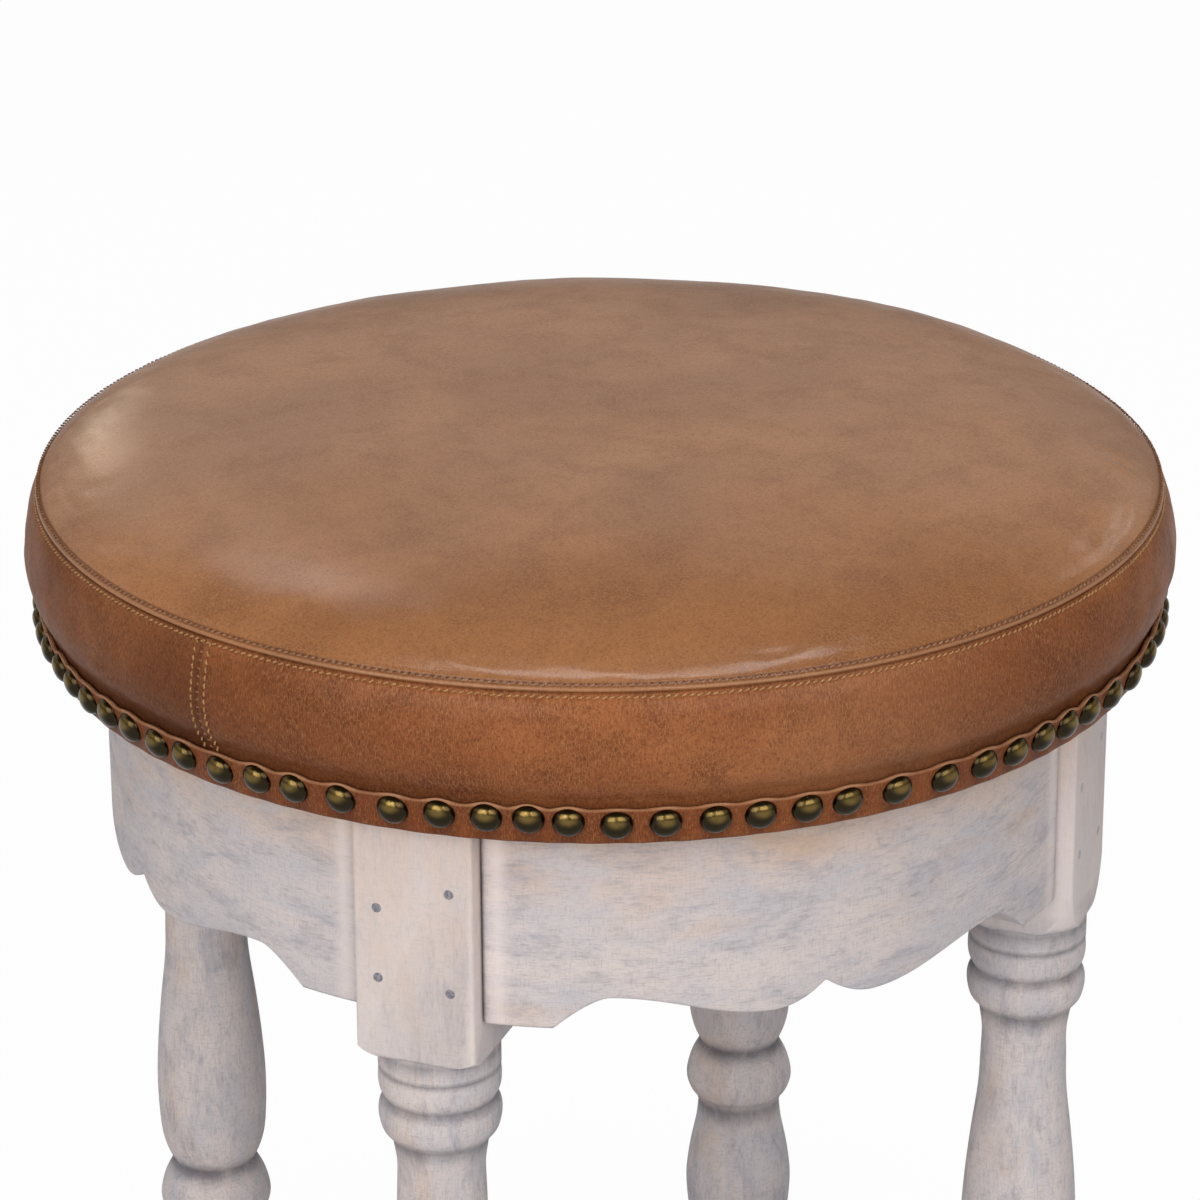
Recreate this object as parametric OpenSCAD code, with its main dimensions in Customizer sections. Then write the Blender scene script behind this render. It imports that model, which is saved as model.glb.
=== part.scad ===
// Round upholstered vanity stool: a leather box cushion on a whitewashed turned-leg frame.
// Millimetres, +Z up, origin on the floor under the centre of the seat, front along -Y.

/* [Overall] */
// Floor to the top of the crowned seat
stool_h = 478; // [440:1:620]
// Widest width of the seat, across the bulge of the boxing band
seat_d = 450.8; // [400:0.2:520]

/* [Seat cover] */
// Thickness of the cover leather
leather_t = 1.4; // [1:0.1:2]
// Rise of the domed top panel above its seam
crown_h = 23; // [12:1:30]
// How square the crown's shoulder is, as the power of its curve
crown_power = 6; // [4:1:8]
// Height from the bottom edge of the seat to the top seam
band_h = 60.5; // [54:0.5:76]
// How far the band's bulge stands outside the bottom edge of the seat
band_bulge = 8.4; // [7:0.2:11]
// How far the top seam lies inside the widest line
seam_inset = 5.7; // [4:0.1:8]
// Depth of the seam allowance turned down inside the band
allowance_h = 8; // [6:1:10]
// Width of the cover leather turned in under the board
turn_under_w = 45; // [38:1:50]
// Diameter of the sewing thread
thread_d = 0.9; // [0.6:0.1:1.2]
// Distance of the topstitching below the seam
topstitch_drop = 3.2; // [2.5:0.1:4]
// Distance between the two upright stitch rows at the band's join
join_row_gap = 6; // [4:0.5:8]

/* [Nailed trim] */
// Height of the trim strip
strip_h = 17; // [14:0.5:18]
// Thickness of the trim strip
strip_t = 1.8; // [1.2:0.1:2.2]
// How far the strip leans out over its height
strip_lean = 4; // [3:0.2:4.6]
// Height of the nail row above the bottom edge of the strip
nail_up = 9.5; // [8:0.5:10]
// Number of nails round the seat
nail_count = 80; // [60:1:84]
// Diameter of a nail's domed head
nail_head_d = 12; // [9:0.5:12.5]
// Height of the dome
nail_head_h = 4; // [2.8:0.1:4.5]
// Diameter of a nail's shank
nail_shank_d = 1.9; // [1.4:0.1:2.4]
// Length of a nail's shank
nail_shank_l = 15; // [11:1:18]

/* [Seat filling and board] */
// Thickness of the plywood seat board
board_t = 18; // [18:1:20]
// Thickness of the wadding over the foam
wadding_t = 8; // [5:1:10]
// Extra rounding of the foam's top edge
foam_extra_drop = 4; // [2:1:7]
// Thickness of the dust cover cloth
dust_t = 0.6; // [0.4:0.1:1]
// Margin of leather left bare outside the dust cover
dust_margin = 12; // [9:1:13]
// Number of staples holding the leather
leather_staple_count = 36; // [24:1:48]
// Number of staples holding the dust cover
dust_staple_count = 24; // [16:1:40]
// Crown width of a staple
staple_w = 10; // [8:1:12]
// Thickness of the staple wire
staple_wire = 0.5; // [0.4:0.1:0.6]
// Leg length of a staple
staple_leg = 6; // [4:1:8]

/* [Frame] */
// How far the seat's widest line overhangs the aprons
seat_overhang = 29.4; // [24:0.2:36]
// Thickness of a curved apron
apron_t = 22; // [20:1:26]
// Height of an apron at its ends
apron_h = 84.6; // [76:0.2:92]
// Rise of the pointed notch at the apron's middle
cusp_rise = 10.9; // [7:0.1:14]
// Rise of the shallow lobes beside the notch
lobe_rise = 2.2; // [1:0.1:4]
// Rise of the two peaks near the apron's ends
peak_rise = 12.6; // [9:0.1:16]
// Thickness of a tenon
tenon_t = 10; // [8:0.5:11]
// Length of a tenon into the leg
tenon_l = 18; // [14:1:18]
// Shoulder above and below a tenon
tenon_shoulder = 14; // [10:1:18]
// Glue gap round a tenon
tenon_gap = 0.15; // [0.1:0.05:0.2]

/* [Legs] */
// Width of the square leg block
leg_w = 47; // [44:1:54]
// Height of the square block above the turning
block_h = 102; // [98:1:112]
// How far the block's face stands out from the aprons
block_proud = 5.2; // [3:0.2:8]
// Arris taken off the block's upright edges
block_arris = 1.4; // [0.8:0.2:2.4]
// Rise of the turned shoulder at the block's corners
pommel_rise = 6; // [4:1:10]
// The same on the front right leg, whose corners are turned away further up
long_pommel_rise = 32; // [20:1:36]
// Diameter of a draw-bore peg
peg_d = 4; // [3:0.5:6]
// Length of a peg
peg_l = 24; // [20:1:27]
// Distance of a peg from the block's side
peg_edge = 9.3; // [7:0.1:11]

/* [Corner blocks, screws and glides] */
// Thickness of a corner block
corner_t = 20; // [16:1:24]
// Height of a corner block
corner_h = 34; // [30:1:40]
// Clearance between a corner block and the seat's underside
corner_drop = 3; // [2:0.5:5]
// Diameter of a screw's shank
screw_d = 4; // [3.5:0.1:4.5]
// Diameter of a screw's countersunk head
screw_head_d = 8; // [7:0.1:9]
// Depth a screw reaches beyond its corner block
screw_bite = 14; // [9:1:15]
// Distance between the two screws of a corner block
screw_gap = 26; // [22:1:30]
// Diameter of a foot glide
glide_d = 22; // [18:1:26]
// Height of a foot glide
glide_h = 4; // [3:0.5:6]
// Diameter of a glide's pin
glide_pin_d = 3; // [2:0.5:4]
// Length of a glide's pin
glide_pin_l = 14; // [10:1:20]

/* [Hidden] */
$fn = 96;

// Overrun that carries a cut clear of a face
cut = 1;

// Levels, from the crown down
seam_z = stool_h - crown_h;
seat_z = seam_z - band_h;
board_z = seat_z + leather_t;
board_top_z = board_z + board_t;
frame_top_z = seat_z - dust_t;
apron_z = frame_top_z - apron_h;
block_z = frame_top_z - block_h;
turning_h = block_z - glide_h;
nail_z = seat_z + nail_up;

// Radii of the seat
widest_r = seat_d / 2;
seam_r = widest_r - seam_inset;
foot_r = widest_r - band_bulge;
lean = strip_lean / strip_h;
band_foot_r = foot_r - strip_t;
board_r = band_foot_r - leather_t;
foam_r = board_r;
turn_in_r = foot_r - turn_under_w;
dust_r = foot_r - dust_margin;
seam_join_angle = 204.8;
// How far a thread's centre stands out from the leather
thread_out = thread_d;

// Bulge of the band above the board: height share, then share of the way out to the widest line
band_top_share = (seam_r - band_foot_r) / (widest_r - band_foot_r);
board_top_share = lean * (board_top_z - seat_z) / (widest_r - band_foot_r);
board_height_share = (board_top_z - seat_z) / band_h;
widest_share = 0.58;
band_bulge_shares = [
    [board_height_share, board_top_share], [0.42, 0.80], [widest_share, 1], [0.74, 0.93],
    [0.9, (0.93 + band_top_share) / 2 + 0.05], [1, band_top_share]];

// Gaps between neighbouring hand-set nails, as shares of an even pitch
nail_gap_shares = [1.10, 0.81, 0.87, 0.97, 0.93, 0.98, 0.90, 1.07, 1.03, 0.94, 1.12, 1.18, 1.02,
    0.99, 0.88, 0.82, 0.99, 1.01, 1.04, 0.95, 1.01, 0.91, 1.17, 1.21, 1.07, 0.94, 0.88, 0.87,
    0.90, 1.11, 1.24, 1.16];
first_nail_angle = 171.5;

// Radii of the frame
apron_r = widest_r - seat_overhang;
apron_in_r = apron_r - apron_t;
tenon_r = apron_r - apron_t / 2;
block_face_r = apron_r + block_proud;
leg_r = block_face_r - leg_w / 2;
block_back_r = block_face_r - leg_w;
half_chord = sqrt(apron_r * apron_r - leg_w * leg_w / 4) * cos(45) - leg_w / 2 * sin(45);
corner_in_r = block_back_r - corner_t;
corner_z = frame_top_z - corner_drop - corner_h;
corner_mid_r = block_back_r - corner_t / 2;
leg_angles = [225, 315, 45, 135];

// Scalloped lower edge: shares of the half chord from the middle outwards
lobe_share = 0.175;
peak_share = 0.67;
tab_share = 0.82;

// Leg turning: share of the way down from the block, then share of the block's half width
collar_shares = [[0, 0.983], [0.033, 0.983]];
upper_ring_shares = [[0.0335, 0.955], [0.038, 0.975], [0.052, 0.987], [0.066, 0.965], [0.079, 0.889]];
lower_ring_shares = [[0.079, 0.889], [0.09, 0.972], [0.105, 0.989], [0.123, 0.943], [0.132, 0.868],
    [0.141, 0.779]];
vase_shares = [[0.141, 0.779], [0.156, 0.749], [0.181, 0.711], [0.219, 0.723], [0.271, 0.749],
    [0.34, 0.851], [0.41, 0.936], [0.479, 0.979], [0.549, 0.945], [0.583, 0.86], [0.608, 0.723]];
ball_shares = [[0.608, 0.723], [0.618, 0.809], [0.639, 0.928], [0.667, 0.998], [0.688, 0.928],
    [0.698, 0.83], [0.714, 0.769]];
foot_shares = [[0.714, 0.769], [0.747, 0.813], [0.788, 0.915], [0.826, 0.983], [0.854, 1],
    [0.891, 0.968], [0.917, 0.91], [0.948, 0.8], [0.976, 0.68], [1, 0.62]];

// Heights of the pegs below the frame's top, as shares of the apron height
left_peg_shares = [0.475, 0.81];
right_peg_shares = [0.36, 0.835];

// Point between b and c on the smooth curve through a, b, c and d
function between(a, b, c, d, t) =
    ((2 * b) + (c - a) * t + (2 * a - 5 * b + 4 * c - d) * t * t
    + (3 * b - a - 3 * c + d) * t * t * t) / 2;

// Smooth run through hand-chosen points, with a number of steps between each two
function smooth_run(p, steps) = [
    for (i = [0 : len(p) - 2], k = [0 : steps - 1])
        between(p[max(i - 1, 0)], p[i], p[i + 1], p[min(i + 2, len(p) - 1)], k / steps),
    p[len(p) - 1]];

function ease(t) = (1 - cos(180 * t)) / 2;
function sum_of(list, count, i = 0) =
    i >= count ? 0 : list[i % len(list)] + sum_of(list, count, i + 1);

// Outer face of the band as radius and height, from the seat's bottom edge up
function band_curve(inset) = concat(
    [[band_foot_r - inset, seat_z]],
    [for (p = smooth_run(band_bulge_shares, 4))
        [band_foot_r + p[1] * (widest_r - band_foot_r) - inset, seat_z + p[0] * band_h]]);

// Outer face of the crowned top, from the middle out to the seam
function crown_curve(top_z, rim_r, rise) = [
    for (i = [0 : 24])
        let (s = sin(90 * i / 24))
        [rim_r * s, top_z - rise * pow(s, crown_power)]];

function reversed(list) = [for (i = [len(list) - 1 : -1 : 0]) list[i]];

// Height of the apron's lower edge at a share of the half chord
function scallop(s) =
    s < lobe_share ? lobe_rise + (cusp_rise - lobe_rise) * pow(1 - s / lobe_share, 2)
    : s < peak_share
    ? lobe_rise + (peak_rise - lobe_rise) * ease((s - lobe_share) / (peak_share - lobe_share))
    : s < tab_share ? peak_rise * (1 - pow((s - peak_share) / (tab_share - peak_share), 1.5))
    : 0;

module at_leg(i) {
    rotate([0, 0, leg_angles[i]]) children();
}

// Ring between two radii
module ring(inner_r, outer_r, z, h) {
    translate([0, 0, z]) difference() {
        cylinder(r = outer_r, h = h, $fn = 360);
        translate([0, 0, -cut]) cylinder(r = inner_r, h = h + 2 * cut, $fn = 360);
    }
}

// Crowned top panel with its seam allowance turned down inside the band
module leather_top_panel() {
    allowance_r = seam_r - leather_t;
    color("#A56C44") rotate_extrude($fn = 360) polygon(concat(
        crown_curve(stool_h, seam_r, crown_h),
        [[allowance_r, seam_z], [allowance_r, seam_z - allowance_h],
            [allowance_r - leather_t, seam_z - allowance_h]],
        reversed(crown_curve(stool_h - leather_t, allowance_r - leather_t, crown_h - leather_t))));
}

// Boxing band with its lower edge turned in under the board
module leather_boxing_band() {
    color("#8E5431") rotate_extrude($fn = 360) polygon(concat(
        band_curve(0),
        reversed([for (p = band_curve(leather_t)) if (p[1] > seat_z) p]),
        [[board_r + leather_t * lean, board_z], [turn_in_r, board_z], [turn_in_r, seat_z]]));
}

// Radius of the band's face at a height above the seat's bottom edge
function band_r_at(h) = lookup(h, [for (p = band_curve(0)) [p[1] - seat_z, p[0]]]);

// Topstitching round the top seam, and the two upright rows at the band's join
module topstitch_thread() {
    row_h = band_h - topstitch_drop;
    join_h = band_h * widest_share;
    color("#D3B277") {
        translate([0, 0, seat_z + row_h])
            rotate_extrude($fn = 360) translate([band_r_at(row_h) + thread_out, 0])
                circle(d = thread_d, $fn = 16);
        for (side = [-1, 1])
            rotate([0, 0, seam_join_angle + side * asin(join_row_gap / 2 / widest_r)])
                translate([widest_r + thread_out, 0, seat_z + join_h - strip_h / 4])
                    cylinder(d = thread_d, h = strip_h / 2, $fn = 16);
    }
}

// Strip of leather that the nails hold over the band's lower edge
module leather_trim_strip() {
    color("#A4562E") rotate_extrude($fn = 360) polygon([
        [foot_r, seat_z], [foot_r + strip_lean, seat_z + strip_h],
        [foot_r + strip_lean - strip_t, seat_z + strip_h], [foot_r - strip_t, seat_z]]);
}

// Domed nail lying along +X, its head outside the plane x = 0
module trim_nail() {
    dome_r = (nail_head_d * nail_head_d / 4 + nail_head_h * nail_head_h) / (2 * nail_head_h);
    rotate([0, 90, 0]) {
        intersection() {
            translate([0, 0, nail_head_h - dome_r]) sphere(r = dome_r, $fn = 48);
            cylinder(d = nail_head_d + 2 * cut, h = nail_head_h + cut, $fn = 48);
        }
        translate([0, 0, -nail_shank_l])
            cylinder(d = nail_shank_d, h = nail_shank_l + nail_head_h / 2, $fn = 24);
    }
}

module trim_nails() {
    unit = 360 / sum_of(nail_gap_shares, nail_count);
    face_r = foot_r + lean * nail_up;
    color("#6E5530") for (i = [0 : nail_count - 1])
        rotate([0, 0, first_nail_angle + unit * sum_of(nail_gap_shares, i)])
            translate([face_r, 0, nail_z])
                rotate([0, atan(lean), 0]) trim_nail();
}

// Foam pad on the board, with its top edge rounded off
module foam_pad() {
    foam_top_z = stool_h - leather_t - wadding_t;
    color("#E8D98B") rotate_extrude($fn = 360) polygon(concat(
        [[0, board_top_z], [foam_r, board_top_z]],
        reversed(crown_curve(foam_top_z, foam_r, crown_h + foam_extra_drop))));
}

// Wadding between the foam and the leather
module wadding_wrap() {
    allowance_in_r = seam_r - 2 * leather_t;
    foam_top_z = stool_h - leather_t - wadding_t;
    color("#F0EEE6") rotate_extrude($fn = 360) polygon(concat(
        crown_curve(stool_h - leather_t, allowance_in_r, crown_h - leather_t),
        [[allowance_in_r, seam_z - allowance_h]],
        reversed([for (p = band_curve(leather_t))
            if (p[1] >= board_top_z && p[1] < seam_z - allowance_h) p]),
        [[foam_r, board_top_z]],
        reversed(crown_curve(foam_top_z, foam_r, crown_h + foam_extra_drop))));
}

// Round plywood board, its edge bevelled to the lean of the trim strip
module seat_board() {
    low_r = board_r + lean * leather_t;
    color("#C9A877") difference() {
        translate([0, 0, board_z])
            cylinder(r1 = low_r, r2 = low_r + lean * board_t, h = board_t, $fn = 360);
        seat_screw_shanks();
    }
}

// Staple with its crown below the plane z = 0 and its legs pointing up
module staple() {
    translate([-staple_wire / 2, -staple_w / 2, -staple_wire])
        cube([staple_wire, staple_w, staple_wire]);
    for (side = [-1, 1])
        translate([-staple_wire / 2, side * (staple_w - staple_wire) / 2 - staple_wire / 2, -staple_wire])
            cube([staple_wire, staple_wire, staple_leg + staple_wire]);
}

module staple_ring(count, r, z) {
    for (i = [0 : count - 1])
        rotate([0, 0, 360 * (i + 0.5) / count]) translate([r, 0, z]) staple();
}

module leather_staples() {
    color("#9A9A9A") staple_ring(leather_staple_count, turn_in_r + turn_under_w / 4, seat_z);
}

// Cloth over the underside of the seat, caught between the seat and the frame
module dust_cover() {
    color("#2B2A2A") difference() {
        translate([0, 0, seat_z - dust_t]) cylinder(r = dust_r, h = dust_t, $fn = 360);
        leather_staples();
        seat_screw_shanks();
    }
}

module dust_cover_staples() {
    color("#9A9A9A") staple_ring(dust_staple_count, (block_face_r + dust_r) / 2, seat_z - dust_t);
}

// Space of the two tenons in one leg, with a gap all round
module tenon_space(gap) {
    for (side = [-1, 1]) intersection() {
        ring(tenon_r - tenon_t / 2 - gap, tenon_r + tenon_t / 2 + gap,
            apron_z + tenon_shoulder - gap, apron_h - 2 * tenon_shoulder + 2 * gap);
        translate([0, side > 0 ? leg_w / 2 - tenon_l - gap : -leg_w / 2 - cut, 0])
            cube([widest_r, tenon_l + gap + cut, stool_h]);
    }
}

// Pegs of one leg, driven in from the block's face through the tenons
module leg_pegs() {
    for (side = [-1, 1], s = side < 0 ? left_peg_shares : right_peg_shares)
        translate([block_face_r - peg_l, side * (leg_w / 2 - peg_edge), frame_top_z - s * apron_h])
            rotate([0, 90, 0]) cylinder(d = peg_d, h = peg_l, $fn = 32);
}

module draw_bore_pegs() {
    color("#8F8C90") for (i = [0 : 3]) at_leg(i) leg_pegs();
}

// Countersunk screw pointing along +Z, its head's face at z = 0
module screw(length) {
    head_h = (screw_head_d - screw_d) / 2;
    cylinder(r1 = screw_head_d / 2, r2 = screw_d / 2, h = head_h, $fn = 32);
    translate([0, 0, head_h]) cylinder(d = screw_d, h = length - head_h, $fn = 32);
}

// Two screws from a corner block into the leg behind it
module corner_screws() {
    for (side = [-1, 1])
        translate([corner_in_r, side * screw_gap / 2, corner_z + corner_h / 2])
            rotate([0, 90, 0]) screw(corner_t + screw_bite);
}

module corner_block_screws() {
    color("#B5B5B5") for (i = [0 : 3]) at_leg(i) corner_screws();
}

// Screw up through the middle of a corner block into the seat board
module seat_screw() {
    translate([corner_mid_r, 0, corner_z]) screw(board_z - corner_z + screw_bite);
}

module seat_screw_shanks() {
    for (i = [0 : 3]) at_leg(i) seat_screw();
}

module seat_screws() {
    color("#B5B5B5") seat_screw_shanks();
}

// Half profile of the turned part of a leg, from the block down to the glide
function turning_points() = [
    for (run = [collar_shares, upper_ring_shares, lower_ring_shares, vase_shares, ball_shares, foot_shares])
        for (p = smooth_run(run, 3)) [p[1] * leg_w / 2, block_z - p[0] * turning_h]];

// Lathe envelope that rounds the block's corners down to the collar
module block_envelope(rise) {
    collar_r = collar_shares[0][1] * leg_w / 2;
    corner_r = leg_w * sqrt(2) / 2;
    rotate_extrude($fn = 96) polygon(concat(
        [[0, block_z], [collar_r, block_z]],
        [for (k = [1 : 8])
            let (s = sin(90 * k / 8))
            [collar_r + (corner_r - collar_r) * s, block_z + rise * (1 - cos(90 * k / 8))]],
        [[corner_r, frame_top_z], [0, frame_top_z]]));
}

// One leg standing at the leg radius on +X, square to the radius
module leg(rise) {
    half = leg_w / 2;
    color("#C9C0BD") difference() {
        translate([leg_r, 0, 0]) union() {
            intersection() {
                translate([0, 0, block_z]) linear_extrude(height = block_h) polygon([
                    [half, half - block_arris], [half - block_arris, half],
                    [block_arris - half, half], [-half, half - block_arris],
                    [-half, block_arris - half], [block_arris - half, -half],
                    [half - block_arris, -half], [half, block_arris - half]]);
                block_envelope(rise);
            }
            rotate_extrude($fn = 96) polygon(concat(
                [[0, glide_h], [0, block_z + cut], [half / 2, block_z + cut], [half / 2, block_z]],
                turning_points()));
        }
        tenon_space(tenon_gap);
        leg_pegs();
        corner_screws();
        glide_pin();
    }
}

module leg_front_left() { at_leg(0) leg(pommel_rise); }
module leg_front_right() { at_leg(1) leg(long_pommel_rise); }
module leg_rear_right() { at_leg(2) leg(pommel_rise); }
module leg_rear_left() { at_leg(3) leg(pommel_rise); }

// Outline of an apron seen square on, its lower edge scalloped
module apron_outline() {
    cusp_steps = [for (k = [0 : 8]) lobe_share * k / 8];
    lobe_steps = [for (k = [1 : 14]) lobe_share + (peak_share - lobe_share) * k / 14];
    peak_steps = [for (k = [1 : 8]) peak_share + (tab_share - peak_share) * k / 8];
    shares = concat(cusp_steps, lobe_steps, peak_steps, [apron_r / half_chord]);
    edge = [for (s = shares) [s * half_chord, apron_z + scallop(s)]];
    polygon(concat(
        [[apron_r, frame_top_z], [-apron_r, frame_top_z]],
        [for (i = [len(edge) - 1 : -1 : 1]) [-edge[i][0], edge[i][1]]],
        edge));
}

// One curved apron with its middle on +X, tenoned into the legs at both ends
module apron() {
    color("#C9C0BD") difference() {
        union() {
            difference() {
                intersection() {
                    ring(apron_in_r, apron_r, apron_z - cut, apron_h + cut);
                    rotate([90, 0, 90]) linear_extrude(height = widest_r) apron_outline();
                    rotate([0, 0, 45]) translate([0, -widest_r, 0]) cube([widest_r, widest_r, stool_h]);
                    rotate([0, 0, -45]) cube([widest_r, widest_r, stool_h]);
                }
                for (a = [-45, 45]) rotate([0, 0, a])
                    translate([0, -leg_w / 2, 0]) cube([widest_r, leg_w, stool_h]);
            }
            for (side = [-1, 1]) rotate([0, 0, side * 45]) apron_tenon(-side);
        }
        for (a = [-45, 45]) rotate([0, 0, a]) leg_pegs();
    }
}

// Tenon on one side of a leg's centre line, running into the apron's end
module apron_tenon(side) {
    intersection() {
        ring(tenon_r - tenon_t / 2, tenon_r + tenon_t / 2,
            apron_z + tenon_shoulder, apron_h - 2 * tenon_shoulder);
        translate([0, side > 0 ? leg_w / 2 - tenon_l : -leg_w / 2 - cut, 0])
            cube([widest_r, tenon_l + cut, stool_h]);
    }
}

module apron_front() { rotate([0, 0, 270]) apron(); }
module apron_right() { apron(); }
module apron_rear() { rotate([0, 0, 90]) apron(); }
module apron_left() { rotate([0, 0, 180]) apron(); }

// Block across the inner corner behind a leg, its ends cut to the aprons' curve
module corner_block(i) {
    color("#BBA98F") at_leg(i) difference() {
        intersection() {
            translate([corner_in_r, -widest_r, corner_z]) cube([corner_t, 2 * widest_r, corner_h]);
            translate([0, 0, corner_z]) cylinder(r = apron_in_r, h = corner_h, $fn = 360);
        }
        corner_screws();
        seat_screw();
    }
}

module corner_block_front_left() { corner_block(0); }
module corner_block_front_right() { corner_block(1); }
module corner_block_rear_right() { corner_block(2); }
module corner_block_rear_left() { corner_block(3); }

// Pin of a glide, at the leg radius on +X
module glide_pin() {
    translate([leg_r, 0, glide_h / 2]) cylinder(d = glide_pin_d, h = glide_h / 2 + glide_pin_l, $fn = 32);
}

module foot_glide(i) {
    color("#D8D5CF") at_leg(i) {
        translate([leg_r, 0, 0]) cylinder(d = glide_d, h = glide_h, $fn = 64);
        glide_pin();
    }
}

module foot_glide_front_left() { foot_glide(0); }
module foot_glide_front_right() { foot_glide(1); }
module foot_glide_rear_right() { foot_glide(2); }
module foot_glide_rear_left() { foot_glide(3); }

leather_top_panel();
leather_boxing_band();
topstitch_thread();
leather_trim_strip();
trim_nails();
wadding_wrap();
foam_pad();
seat_board();
leather_staples();
dust_cover();
dust_cover_staples();
leg_front_left();
leg_front_right();
leg_rear_right();
leg_rear_left();
apron_front();
apron_right();
apron_rear();
apron_left();
corner_block_front_left();
corner_block_front_right();
corner_block_rear_right();
corner_block_rear_left();
corner_block_screws();
seat_screws();
draw_bore_pegs();
foot_glide_front_left();
foot_glide_front_right();
foot_glide_rear_right();
foot_glide_rear_left();
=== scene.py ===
"""Round vanity stool: a domed leather box cushion nailed round its edge, on four curved scalloped
aprons and four turned legs in a whitewashed finish. All lengths are in metres."""

import math
import random

import bpy
from mathutils import Matrix, Vector, noise


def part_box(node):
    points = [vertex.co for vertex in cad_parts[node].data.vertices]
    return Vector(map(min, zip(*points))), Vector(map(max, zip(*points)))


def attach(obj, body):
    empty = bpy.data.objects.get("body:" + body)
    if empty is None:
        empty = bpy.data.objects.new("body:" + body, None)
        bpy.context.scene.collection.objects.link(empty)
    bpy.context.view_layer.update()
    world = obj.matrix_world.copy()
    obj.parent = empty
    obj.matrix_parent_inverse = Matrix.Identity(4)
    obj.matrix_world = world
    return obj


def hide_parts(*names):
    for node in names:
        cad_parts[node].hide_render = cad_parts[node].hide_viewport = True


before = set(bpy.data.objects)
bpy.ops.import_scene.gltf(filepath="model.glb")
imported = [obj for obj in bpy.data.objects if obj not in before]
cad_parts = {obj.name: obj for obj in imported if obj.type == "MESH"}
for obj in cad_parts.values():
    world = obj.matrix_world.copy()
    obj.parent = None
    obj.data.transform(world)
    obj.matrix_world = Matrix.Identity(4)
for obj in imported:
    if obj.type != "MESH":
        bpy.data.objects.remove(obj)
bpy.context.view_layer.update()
MM = 0.001


# Viewpoint of the photograph: a long lens, a little under two metres away, looking down at the
# seat from the front left, so that one leg stands in front and one apron turns to the right.
seat_low, seat_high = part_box("leather_boxing_band")
nail_up = 9.5 * MM
nail_row_z = seat_low.z + nail_up
view_azimuth = math.radians(-24.9)
view_elevation = math.radians(22.30)
view_pitch = math.radians(22.45)
view_roll = math.radians(-0.283)
view_distance = 1.928
view_sideways = -0.42 * MM
lens_pixels = 4878
image_pixels = 1200
sensor_width = 36

bpy.ops.object.camera_add()
camera = bpy.context.object
camera.name = "camera"
camera.data.sensor_width = sensor_width
camera.data.lens = lens_pixels / image_pixels * sensor_width
eye = Vector((view_sideways, -view_distance * math.cos(view_elevation),
              view_distance * math.sin(view_elevation)))
turn = Matrix.Rotation(view_azimuth, 4, "Z")
camera.matrix_world = (
    Matrix.Translation(turn @ eye + Vector((0, 0, nail_row_z))) @ turn
    @ Matrix.Rotation(math.pi / 2 - view_pitch, 4, "X") @ Matrix.Rotation(view_roll, 4, "Z"))
bpy.context.scene.camera = camera


# Turned legs: one length of hardwood each, left square at the top for the joints and turned below
# to a collar, two rings, a long vase, a ball and a bulb foot. The finish is a pale chalky wash
# rubbed into the grain, pinkish where it is worn thin, with painted shade in the grooves and under
# the block, and the block painted lighter, most near its foot.
def srgb(red, green, blue):
    """Linear colour, with alpha, of an eight-bit screen colour."""
    def channel(value):
        share = value / 255
        return share / 12.92 if share <= 0.04045 else ((share + 0.055) / 1.055) ** 2.4
    return (channel(red), channel(green), channel(blue), 1)


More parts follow.
